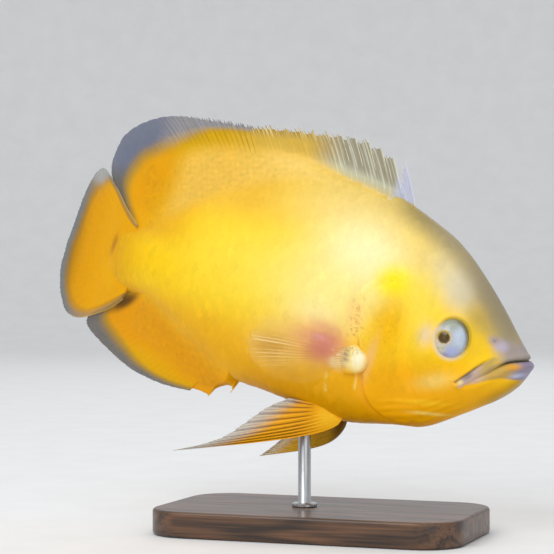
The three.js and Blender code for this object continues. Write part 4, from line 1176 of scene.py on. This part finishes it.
# The line of the spines' tips
dorsal_top = profile([
    (60, 80.8), (80, 83.2), (100, 85), (112, 86.2), (122, 85.4), (130, 83), (136, 79.6), (142, 78.2)])
anal_low = profile([(57, -51.8), (68.6, -52.2), (80, -47.4)])


def spike(points, radii, around=10):
    """A tapered round spine along points of the straight fish."""
    way = np.gradient(points, axis=0)
    way /= np.linalg.norm(way, axis=1, keepdims=True)
    first = np.cross(way, np.array([0.0, 1.0, 0.0]))
    first /= np.linalg.norm(first, axis=1, keepdims=True)
    second = np.cross(way, first)
    angle = np.linspace(0, 2 * math.pi, around, endpoint=False)[:, None]
    ring = first[:, None] * np.cos(angle) + second[:, None] * np.sin(angle)
    return tube(points[:, None] + ring * per_scale(radii), points[0], points[-1] + way[-1] * radii[-1])


def spiny_fin(name, fin, count, roots, tips, tip_height, depths, notches, fringe_depth, flesh, tint_of,
              node_name):
    """Stiff spines with notched, fringed skin between them. roots and tips are s, from first to last."""

    def line(u, v):
        root_s, tip_s = mix(*roots, u), mix(*tips, u)
        root_h = fin.outline(root_s) - fin.way * ROOT_DEPTH
        return mix(root_s, tip_s, v), mix(root_h, tip_height(tip_s), v)

    u, v = fin_grid((count - 1) * PER_SPINE + 1, 44)
    place = u * (count - 1)
    number = np.minimum(np.floor(place + 1e-9), count - 2).astype(int)
    within = place - number
    depth = np.asarray(depths)[number] * np.random.default_rng(57).uniform(0.75, 1.2, count)[number]
    notch = np.interp(within, [0, 0.15, 0.4, 0.6, 0.78, 0.92, 1], notches)
    strand = fibres(place, v, count - 1, 29)
    fringe = 1 - fibres(place, 0.9 + 0 * v, count - 1, 29)
    s, h = line(u, v * (1 - depth * notch - fringe_depth * fringe * ramp(v, 0.7, 1)))
    side = fin.sway(s, h) + 0.3 * np.sin(within * math.pi) * ramp(v, 0.2, 1)
    half = 0.2 + 0.08 * strand * v + fin.swell(s, h) * ramp(u, *flesh) - 0.08 * ramp(u, 0.96, 0.99)
    half = half * (1 - 0.5 * ramp(v, 0.85, 1))
    tint, cover = tint_of(v, s, h, strand, bell(np.minimum(within, 1 - within), 0.05))
    sheet_piece(name + "_skin", np.stack([s, side, h], -1), np.array([0, 1, 0]), half, tint, cover, CLEAR_FIN,
                [node_name])
    t = np.linspace(0, 1, 16)
    points, faces = [], []
    for i, w in enumerate(np.linspace(0, 1, count)):
        s, h = line(w, t * mix(0.995, 0.97, w))
        middle = np.stack([s + 0.48 * np.sin(math.pi * t), fin.sway(s, h), h], -1)
        made, triangles = spike(middle, mix(0.42, 0.28, w) * (1 - t) ** 0.6 + 0.10)
        points.append(made)
        faces.append(triangles + i * len(made))
    points = np.vstack(points)
    channels = {"tint": spine_tint(points[:, 0], points[:, 2]), "cover": np.ones(len(points))}
    add_piece(name + "_spines", posed(points), np.vstack(faces), CLEAR_FIN, (), channels)


def spine_tint(s, h):
    upper = (h > 0)[:, None]
    spine = Paint(s, h, np.where(upper, crest_tint(s, h), seen(238, 176, 22)))
    top = ramp(np.maximum(DORSAL.beyond(s, h), belly(s) - 4 - h), -2, 6)
    pale = np.where(upper, seen(222, 222, 200), seen(240, 196, 70))
    spine.lay(pale, top * mix(0.3, 0.95, ramp(s, 92, 118)))
    spine.lay((206, 208, 228), ramp(s, 139, 142) * top)
    return spine.colour


def dorsal_spiny_tint(v, s, h, strand, spine_near):
    over = DORSAL.beyond(s, h)
    fin = Paint(s, h, crest_tint(s, h))
    front = ramp(s + 0.35 * (h - 76), 92, 116)
    bare = ramp(over, -1, 5)
    below_top = dorsal_top(s) - h
    hair = mix(fade(below_top, 2.2, 7.5), bare, front)
    fin.lay((132, 106, 48), (1 - strand) * (1 - front) * hair * 0.65)
    fin.lay((136, 132, 108), front * bare * 0.9)
    fin.lay((210, 214, 184), front * bell(over - 2.5, 3) * 0.7)
    fin.lay(shades((238, 226, 176), (236, 236, 216), front), strand * hair * (0.75 + 0.25 * front))
    rim = fade(below_top + 0.12 * np.maximum(s - DORSAL_JOIN.edge, 0), 1.2, 4) * fade(s, 66, 86)
    fin.lay(shades((112, 104, 92), (176, 174, 178), strand), rim)
    fin.lay((196, 200, 224), ramp(s, 138, 143) * ramp(over, -2, 3) * 0.9)
    clear = bare * mix(0.02, 0.16, front) * (1 - 0.8 * strand) * (1 - 0.8 * spine_near)
    return fin.colour, cover_for(1 - clear)


def anal_spiny_tint(v, s, h, strand, spine_near):
    fin = Paint(s, h, anal_base_tint(s, h))
    fin.lay((238, 186, 60), ramp(s - 0.4 * (h + 50), 70, 80) * ramp(v, 0.7, 1) * 0.6)
    return fin.colour, np.ones(v.shape)


spiny_fin("dorsal_spiny", DORSAL, DORSAL_SPINES, (154.6, DORSAL_JOIN.root - OVERLAP),
          (141.8, DORSAL_JOIN.edge - OVERLAP), dorsal_top,
          [0.4, 0.11, 0.08, 0.07, 0.06, 0.05, 0.04, 0.03, 0.02, 0.02, 0.01, 0.01],
          [0, 0.08, 0.4, 0.85, 1, 0.95, 0.75], 0.08, (0, 0.14), dorsal_spiny_tint, "dorsal_fin_spiny")
spiny_fin("anal_spiny", ANAL, ANAL_SPINES, (85.6, ANAL_JOIN.root - OVERLAP), (80, ANAL_JOIN.edge - OVERLAP),
          anal_low, [0.34, 0.1], [0.45, 0.85, 1, 1, 0.9, 0.75, 0.55], 0.01, (-0.1, 0.3), anal_spiny_tint,
          "anal_fin_spiny")


def fin_scales(name, fin, centres, heading, side, tint_of):
    """Small scales on the fleshy root of a fin, each with its free edge along its heading."""
    long, wide = 1.5, 1.15
    total = len(centres)
    x, y = disc_grid(5)
    turn = heading + rng.normal(0, 0.06, total)
    c, d = per_scale(np.cos(turn)), per_scale(np.sin(turn))
    grow = per_scale(rng.uniform(0.92, 1.08, total))
    s = per_scale(centres[:, 0]) + (x * c * long - y * d * wide) * grow
    h = per_scale(centres[:, 1]) + (x * d * long + y * c * wide) * grow
    out = FIN_HALF + fin.swell(s, h) + 0.05 * (0.2 + 0.9 * x - 0.2 * y * y)
    tops = np.stack([s, fin.sway(s, h) + side * out, h], -1)
    root_s, root_h = centres.T
    root_side = fin.sway(root_s, root_h) + side * (fin.swell(root_s, root_h) - 0.1)
    roots = np.stack([root_s, root_side, root_h], -1)
    tint = tint_of(s, h) * per_scale(rng.normal(1, 0.03, total))[..., None]
    places = np.stack([0.02 + 0.96 * (root_s + 52) / 210, 0.5 + side * (0.25 + 0.2 * root_h / 90)], -1)
    scale_piece(name, tops, roots, tint, places, 40)


def fin_lattice(fin, s_from, s_to, low, high):
    """Centres of small scales on the flesh of a fin."""
    centres = lattice(s_from, s_to, lambda s: 2.3, lambda s: 1.5, low, high)
    centres = centres + rng.normal(0, 0.07, centres.shape)
    s, h = centres.T
    return centres[(fin.way * (h - fin.outline(s)) > 0.6 - FILLET) & (fin.beyond(s, h) < -1.2)]


def dress_fins(side, word):
    centres = fin_lattice(DORSAL, 140, -6, 18, 72)
    s, h = centres.T
    centres = centres[(s > 0) & (h > 23 - 0.9 * (s - 10)) & (s > 10 - 0.55 * (h - 26))]
    heading = np.radians(158 - 0.25 * (120 - centres[:, 0]))
    fin_scales("scales_dorsal_" + word, DORSAL, centres, heading, side, crest_tint)
    centres = fin_lattice(ANAL, 80, 6, -50, -14)
    s, h = centres.T
    centres = centres[(s > 17 + 0.6 * (h + 22)) & (s < 68 + 0.45 * (h + 51.8))]
    heading = np.radians(-158 + 0.25 * (80 - centres[:, 0]))
    fin_scales("scales_anal_" + word, ANAL, centres, heading, side, anal_base_tint)


for which_side, word in SIDES:
    dress_fins(which_side, word)


def paired_fin(name, side, root, edge, rays, droop, root_half, tint_of, look, node_name, rows=46):
    """A breast or belly fin. droop bends its rear rays down."""
    u, v = fin_grid((rays - 1) * 24 + 1, rows)
    flip = np.array([1, side, 1])
    ridge = ray_pattern(u, v, rays, split_at=0.5, second=0.8, width=0.14)
    start, end = spline(root)(u) * flip, spline(edge)(u) * flip
    middle = start + (end - start) * (v * fray(u, v, ridge, 0.03, 43))[..., None]
    middle[..., 1] += side * 6 * v * (1 - v) * np.sin(math.pi * u)
    middle[..., 2] -= droop * np.sin(math.pi * v**0.42) * (1 - u) ** 2
    across = normals_of(middle)
    across *= np.sign(np.mean(across[..., 1]) + 1e-9)
    half = 0.2 + 0.34 * ridge * (1 - 0.6 * v) * ramp(v, 0.04, 0.2) + (root_half - 0.3) * fade(v, 0, 0.3)
    half = half * (1 - 0.5 * ramp(v, 0.85, 1))
    tint, cover = tint_of(u, v, middle, ridge)
    sheet_piece(name, middle, across, half, tint, cover, look, [node_name])


def pelvic_tint(u, v, middle, ridge):
    fin = Paint(u, v, (228, 156, 0))
    fin.spots(((250, 192, 36), 0.9, (0.45, 0.02), (0.5, 0.14)))
    pale = ramp(v, 0.46 + 0.14 * (1 - u), 0.95)
    fin.lay((176, 166, 148), pale)
    place = u * (PELVIC_RAYS - 1)
    valley = bell(np.abs(place - np.round(place)) - 0.5, 0.16) * ramp(v, 0.12, 0.3)
    fin.lay((98, 64, 14), valley * 0.85)
    fin.lay((248, 194, 60), ridge * ramp(v, 0.1, 0.4) * (1 - pale) * 0.4)
    fin.lay((214, 208, 196), ridge * pale * 0.6)
    # Painted shade: the far (left) fin is a darker olive than the near one, with painted shadow as a dark
    # band along its root.
    left_fin = middle[..., 1] > 0
    fin.lay((200, 158, 30), left_fin * (1 - 0.5 * pale) * 0.85)
    fin.lay((84, 56, 18), left_fin * fade(v, 0.04, 0.2) * 0.8)
    return fin.colour, cover_for(1 - 0.3 * pale * (1 - ridge))


def pectoral_tint(u, v, middle, ridge):
    """Clear skin, with the rays seen as broken pale streaks and a few brown ones."""
    s, h = middle[..., 0], middle[..., 2]
    fin = Paint(s, h, (250, 224, 156))
    streak = np.clip(0.4 + 0.6 * ripple(s * 0.35, 4 * h, 20, 81), 0, 1)
    brown = creases(u, PECTORAL_RAYS, 83) * ramp(v, 0.2, 0.4) * fade(v, 0.75, 0.95)
    fin.lay((176, 112, 52), brown)
    near_root = fade(v, 0.02, 0.14)
    hair = fibres(u * 9, v, 9, 87, 3)
    comb = patch(s, h, (107, -15), (11, 9), 12, 3)
    gaps = comb * ramp(1 - hair, 0.5, 1)
    fin.lay((255, 248, 222), comb * hair)
    fin.lay((170, 116, 46), gaps * 0.9)
    rosy = patch(s, h, (127, -14), (9, 6), 10, 3) * (1 - fibres(u * 9, v, 9, 89, 3))
    fin.lay((190, 96, 96), rosy)
    fin.lay((166, 128, 84), near_root * (1 - ridge) * 0.7)
    pale = hair * (0.06 + 0.12 * streak * ramp(v, 0.3, 0.7) + 0.95 * comb)
    strong = pale * (1 - 0.8 * ramp(v, 0.92, 1)) + 0.3 * brown * (1 - hair) + 0.42 * gaps
    strong = strong * (1 - 0.7 * ramp(h, -17, -8))
    opacity = 0.012 + strong + 0.22 * rosy + near_root * (0.15 + 0.45 * ridge)
    return fin.colour, cover_for(np.clip(opacity, 0, 0.98))


PELVIC_ROOTS = {
    -1: [(140.8, 7.6, -43.6), (137.4, 8.8, -42.8), (134, 9.9, -41.5), (130.6, 10.9, -39.9)],
    1: [(138.4, 7.6, -43.6), (135.4, 8.8, -42.8), (132.4, 9.9, -41.5), (129.6, 10.9, -39.9)],
}
PELVIC_EDGES = {
    -1: [(66.6, 20, -78.6), (79.4, 18.8, -72.2), (90, 17.5, -65), (97.6, 15, -56.4), (105.2, 12.5, -47.4),
         (114.7, 11, -40.2)],
    1: [(93.6, 18, -76.4), (100, 17, -70), (106, 16, -63), (110, 15, -56), (114, 13.4, -49.5),
        (117, 12, -44)],
}
PELVIC_DROOP = {-1: 4.6, 1: 10.4}
PECTORAL_EDGE = [
    (104, 26.5, -3.5), (98.5, 29.5, -9.5), (97, 31, -16.5), (99.5, 31.5, -23.5), (106, 30.5, -29),
    (114, 29, -31.6), (124, 27, -30.6)]
PECTORAL_ROOT = [(s, float(side_at(s, h)) + 1.2, h)
                 for s, h in ((142, -9), (140.5, -13), (140.5, -17), (142, -20.5))]


def lobe(side, word):
    """The fleshy, speckled lobe that the breast fin grows from."""
    u, v = fin_grid(73, 49)
    around, down = u[:, :-1] * 2 * math.pi, v[:, :-1] * math.pi
    x, y, z = np.sin(down) * np.cos(around), np.sin(down) * np.sin(around), np.cos(down)
    bulge = 1 + 0.07 * ripple(x * 6, z * 6, 6, 51) - 0.1 * bell(x + 0.35, 0.3) * ramp(z, 0.2, 0.8)
    ribs = 1 + 0.05 * np.cos((z * 5.2 + 1.3 * x) * math.pi) * fade(x, -0.3, 0.6)
    y = y * mix(0.16, 1, ramp(x, -0.8, 0.5)) * ribs
    half = np.array([LOBE.length / 2, LOBE.thickness, LOBE.depth / 2])
    ball = np.stack([x, y, z], -1) * half * bulge[..., None] * 0.98
    ball[..., 1] -= 0.7 * ramp(-x, 0.1, 0.75)
    c, d = math.cos(math.radians(-8)), math.sin(math.radians(-8))
    s, h = ball[..., 0] * c + ball[..., 2] * d, ball[..., 2] * c - ball[..., 0] * d
    centre_n = float(side_at(LOBE.s, LOBE.h))
    points = np.stack([s + LOBE.s, side * (ball[..., 1] + centre_n), h + LOBE.h], -1)
    flesh = Paint(s, h, (236, 212, 132))
    flesh.lay((238, 180, 16), ramp(-h - 0.2 * s, 2.5, 6.5))
    streaks = ramp(ripple(s * 3.2 + h, h * 0.6, 7, 53), 0.1, 0.7)
    roots = ramp(ripple(s * 0.5, h * 2.6, 7, 55), -0.1, 0.6)
    rear = ((-4.4, 0.2), (3.0, 4.6), 15, 3)
    flesh.spots(((244, 240, 208), 0.85, (3.4, 1.4), (3.0, 4.0)),
                ((250, 250, 232), streaks * 0.3, (2.6, 0.5), (4.4, 5)),
                ((214, 190, 148), 0.85, *rear), ((150, 112, 78), roots * 0.6, *rear))
    specks = ramp(ripple(s, h, 1.3, 61) + 0.6 * ripple(s, h, 0.8, 63), 0.3, 0.8)
    flesh.lay((126, 94, 60), specks * ramp(h - 0.3 * s, 1.0, 4.5) * 0.8)
    edge = ramp(np.hypot(s / half[0], h / half[2]) + 0.12 * ramp(-s, 1, 6), 0.72, 1.0)
    flesh.lay(body_tint(s + LOBE.s, h + LOBE.h), edge * 0.85)
    add_piece("breast_lobe_" + word, posed(points.reshape(-1, 3)), grid_quads(*s.shape, wrap=True), SKIN, (),
              {"tint": flesh.colour})


for which_side, word in SIDES:
    paired_fin("pelvic_" + word, which_side, PELVIC_ROOTS[which_side], PELVIC_EDGES[which_side], PELVIC_RAYS,
               PELVIC_DROOP[which_side], 1.3, pelvic_tint, FIN, "pelvic_fin_" + word, rows=60)
    paired_fin("pectoral_" + word, which_side, PECTORAL_ROOT, PECTORAL_EDGE, PECTORAL_RAYS, 0, 0.9,
               pectoral_tint, CLEAR_FIN, "pectoral_fin_" + word)
    lobe(which_side, word)


# Eyes
def eye(side, word):
    """A flattened ball on the side of the head, with a low dome for the pupil."""
    slope_s = (side_at(EYE.s + 1, EYE.h) - side_at(EYE.s - 1, EYE.h)) / 2
    slope_h = (side_at(EYE.s, EYE.h + 1) - side_at(EYE.s, EYE.h - 1)) / 2
    out = np.array([-slope_s, side, -slope_h])
    out /= np.linalg.norm(out)
    forward = np.array([1.0, 0, 0]) - out * out[0]
    forward /= np.linalg.norm(forward)
    up = np.cross(forward, out) * side
    up = up if up[2] > 0 else -up
    rings, around = 90, 128
    polar = np.linspace(0, math.pi, rings)[1:-1, None]
    turn = np.linspace(0, 2 * math.pi, around, endpoint=False)[None]
    x = EYE.radius * np.sin(polar) * np.cos(turn)
    y = EYE.tall * np.sin(polar) * np.sin(turn)
    pupil = np.hypot(x + PUPIL.back, y + PUPIL.down)
    dome = 0.2 * np.sqrt(np.clip(1 - (pupil / PUPIL.radius) ** 2, 0, 1)) - 0.1 * bell(pupil - 2.8, 0.3)
    z = EYE.depth * np.cos(polar) + dome
    centre = np.array([EYE.s, side * float(side_at(EYE.s, EYE.h)), EYE.h]) + out * (EYE.bulge - EYE.depth)
    points = centre + x[..., None] * forward + y[..., None] * up + z[..., None] * out
    points, faces = tube(points, centre + out * EYE.depth, centre - out * EYE.depth)
    colour = eye_tint(np.append(x, [0, 0]), np.append(y, [0, 0]))
    add_piece("eyeball_" + word, posed(points), faces, EYE_LOOK, ["eye_" + word], {"tint": colour})


def eye_tint(x, y):
    """The pale iris, with gold round a pupil that looks back, and a dark upper front rim that is painted
    shadow from the socket's edge.
    """
    iris = Paint(x, y, (176, 182, 188))
    flecks = ramp(ripple(x, y, 1.6, 91) + 0.5 * ripple(x, y, 0.9, 93), 0.1, 0.8)
    lower_back = ((-4.2, -5.0), (2.8, 2.0), -30, 3)
    iris.spots(((186, 200, 218), 1, (3.8, 0.8), (3.0, 5.6), 12, 3),
               ((164, 174, 222), 0.9, (1.0, -6.0), (3.8, 2.6), 10, 3),
               ((150, 158, 140), 0.85, (-1.8, 6.2), (4.6, 2.6), 15, 3),
               ((150, 140, 186), 0.6, (-1.2, -7.6), (1.6, 0.8), 0, 3),
               ((212, 196, 176), 0.9, (-7.0, 0.5), (1.8, 6.5), 0, 3), ((206, 200, 170), 0.8, *lower_back),
               ((160, 140, 60), flecks * 0.5, *lower_back),
               ((178, 188, 176), flecks * 0.3, (1.4, 3), (4, 3.6)))
    # Painted shadow: a dark olive crescent at the upper front of the eye, below the socket's edge.
    across, up = x / EYE.radius, y / EYE.tall
    rim = ramp(np.hypot(across, up), 0.68, 0.86) * bell(np.degrees(np.arctan2(up, across)) - 50, 66)
    iris.lay((104, 98, 52), rim * 0.9)
    pupil = np.hypot(x + PUPIL.back, y + PUPIL.down)
    iris.lay(shades((206, 186, 158), (182, 156, 50), ramp(y - 0.6 * x, 0.5, 4.5)), fade(pupil, 2.8, 4.2))
    ragged = pupil + 0.16 * ripple(x, y, 2.2, 97)
    iris.lay((120, 92, 12), fade(ragged, 2.4, 3.0))
    iris.lay((70, 52, 6), fade(ragged, 1.9, 2.6))
    iris.spots(((104, 76, 8), 0.7, (-PUPIL.back, -0.2), (0.8, 1.3), 0, 3))
    return iris.colour


for which_side, word in SIDES:
    eye(which_side, word)


# Stand
def stand_plate():
    """The base: a walnut slab with round corners and softened edges."""
    outline = []
    for cx, cy, start in ((1, -1, -90), (1, 1, 0), (-1, 1, 90), (-1, -1, 180)):
        for a in np.radians(np.linspace(start, start + 90, 19)):
            outline.append((cx * (BASE.length / 2 - BASE.corner), cy * (BASE.width / 2 - BASE.corner),
                            math.cos(a), math.sin(a)))
    outline = np.array(outline)
    inner = BASE.corner - BASE.bevel
    rings = [(inner - 2, 0.0)]
    for low, middle in ((-90, BASE.bevel), (0, BASE.height - BASE.bevel)):
        for a in np.radians(np.linspace(low, low + 90, 7)):
            rings.append((inner + BASE.bevel * math.cos(a), middle + BASE.bevel * math.sin(a)))
    rings.append((inner - 2, BASE.height))
    points = [np.column_stack([outline[:, :2] + outline[:, 2:] * r, np.full(len(outline), z)])
              for r, z in rings]
    points, faces = tube(np.array(points), (0, 0, 0), (0, 0, BASE.height))
    add_piece("stand_plate", points * MM, faces, WALNUT, ["stand_base"])


def stand_pin():
    """The steel rod, with a small collar where it enters the base."""
    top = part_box("stand_rod")[1].z / MM
    radius, height = ROD.radius, BASE.height
    lathe = [(radius, height - 5), (radius, height), (radius + 2.6, height), (radius + 3.0, height + 0.4),
             (radius + 3.0, height + 1.4), (radius + 2.6, height + 1.8), (radius + 0.25, height + 1.8),
             (radius, height + 2.1), (radius, top - 0.6), (radius - 0.6, top)]
    angle = np.linspace(0, 2 * math.pi, 64, endpoint=False)
    rings = [np.column_stack([ROD.x + r * np.cos(angle), ROD.y + r * np.sin(angle), np.full(len(angle), z)])
             for r, z in lathe]
    points, faces = tube(np.array(rings), (ROD.x, ROD.y, lathe[0][1]), (ROD.x, ROD.y, top))
    piece = add_piece("stand_pin", points * MM, faces, STEEL, ["stand_rod"])
    piece.data.set_sharp_from_angle(angle=math.radians(40))


stand_plate()
stand_pin()


# Stage, lights and camera
def studio_floor():
    """A pale round floor that curves up into a wall all round."""
    made, shader = material("studio_pale", rough=0.75)
    noise = spread(made, object_noise(made, 30), 0.98, 1.02)
    pale = node(made, "ShaderNodeVectorMath", operation="SCALE", i0=(0.78, 0.785, 0.79), Scale=noise)
    link(made, pale.outputs[0], shader.inputs["Base Color"])
    flat, curve, wall = 2.2, 0.8, 0.8
    path = [(0.02, 0), (0.5, 0), (1.2, 0), (flat, 0)]
    for a in np.radians(np.linspace(5, 90, 18)):
        path.append((flat + curve * math.sin(a), curve * (1 - math.cos(a))))
    path.append((flat + curve, curve + wall))
    angle = np.linspace(0, 2 * math.pi, 96, endpoint=False)
    points = np.array([[(r * math.cos(a), r * math.sin(a), z - 0.0002) for a in angle] for r, z in path])
    rows, columns = points.shape[:2]
    faces = grid_quads(rows, columns, wrap=True)[:, ::-1].tolist()
    faces.append(list(range(columns)))
    mesh = bpy.data.meshes.new("studio_floor")
    mesh.from_pydata(points.reshape(-1, 3).tolist(), [], faces)
    mesh.polygons.foreach_set("use_smooth", np.ones(len(faces), bool))
    mesh.materials.append(made)
    piece = bpy.data.objects.new("studio_floor", mesh)
    bpy.context.collection.objects.link(piece)


def area_light(name, azimuth, elevation, distance, size, power, colour=(1, 1, 1)):
    """A soft square light that faces the fish."""
    data = bpy.data.lights.new(name, "AREA")
    data.size, data.energy, data.color = size, power, colour
    light = bpy.data.objects.new(name, data)
    a, e = math.radians(azimuth), math.radians(elevation)
    way = np.array([math.sin(a) * math.cos(e), -math.cos(a) * math.cos(e), math.sin(e)])
    light.location = CENTRE * MM + way * distance
    light.rotation_mode = "QUATERNION"
    light.rotation_quaternion = Vector((-way).tolist()).to_track_quat("-Z", "Y")
    light.visible_camera = False
    bpy.context.collection.objects.link(light)


def camera():
    """The view of the photograph: level, 20 degrees round towards the head."""
    azimuth = math.radians(20)
    distance, shift_right, shift_up = 900.0, -13.79, 16.01
    right = np.array([math.cos(azimuth), math.sin(azimuth), 0])
    behind = np.array([math.sin(azimuth), -math.cos(azimuth), 0])
    data = bpy.data.cameras.new("camera")
    data.lens, data.sensor_width, data.clip_start = 124.3, 36.0, 0.05
    made = bpy.data.objects.new("camera", data)
    made.location = (CENTRE + right * shift_right + np.array([0, 0, shift_up]) + behind * distance) * MM
    made.rotation_euler = (math.pi / 2, 0, azimuth)
    bpy.context.collection.objects.link(made)
    bpy.context.scene.camera = made


COOL = (0.97, 0.98, 1.0)
studio_floor()
area_light("key", -16, 38, 1.3, 0.8, 7.2, (1.0, 0.99, 0.96))
area_light("fill", 45, 6, 1.6, 1.0, 3.2, COOL)
area_light("top", 10, 86, 2.2, 2.0, 8.0)
area_light("back", 190, 40, 1.8, 1.2, 4, COOL)
camera()

world = bpy.data.worlds.new("studio")
world.use_nodes = True
background = world.node_tree.nodes["Background"]
background.inputs["Color"].default_value = (*COOL, 1)
background.inputs["Strength"].default_value = 0.75
bpy.context.scene.world = world
bpy.context.scene.view_settings.view_transform = "Standard"
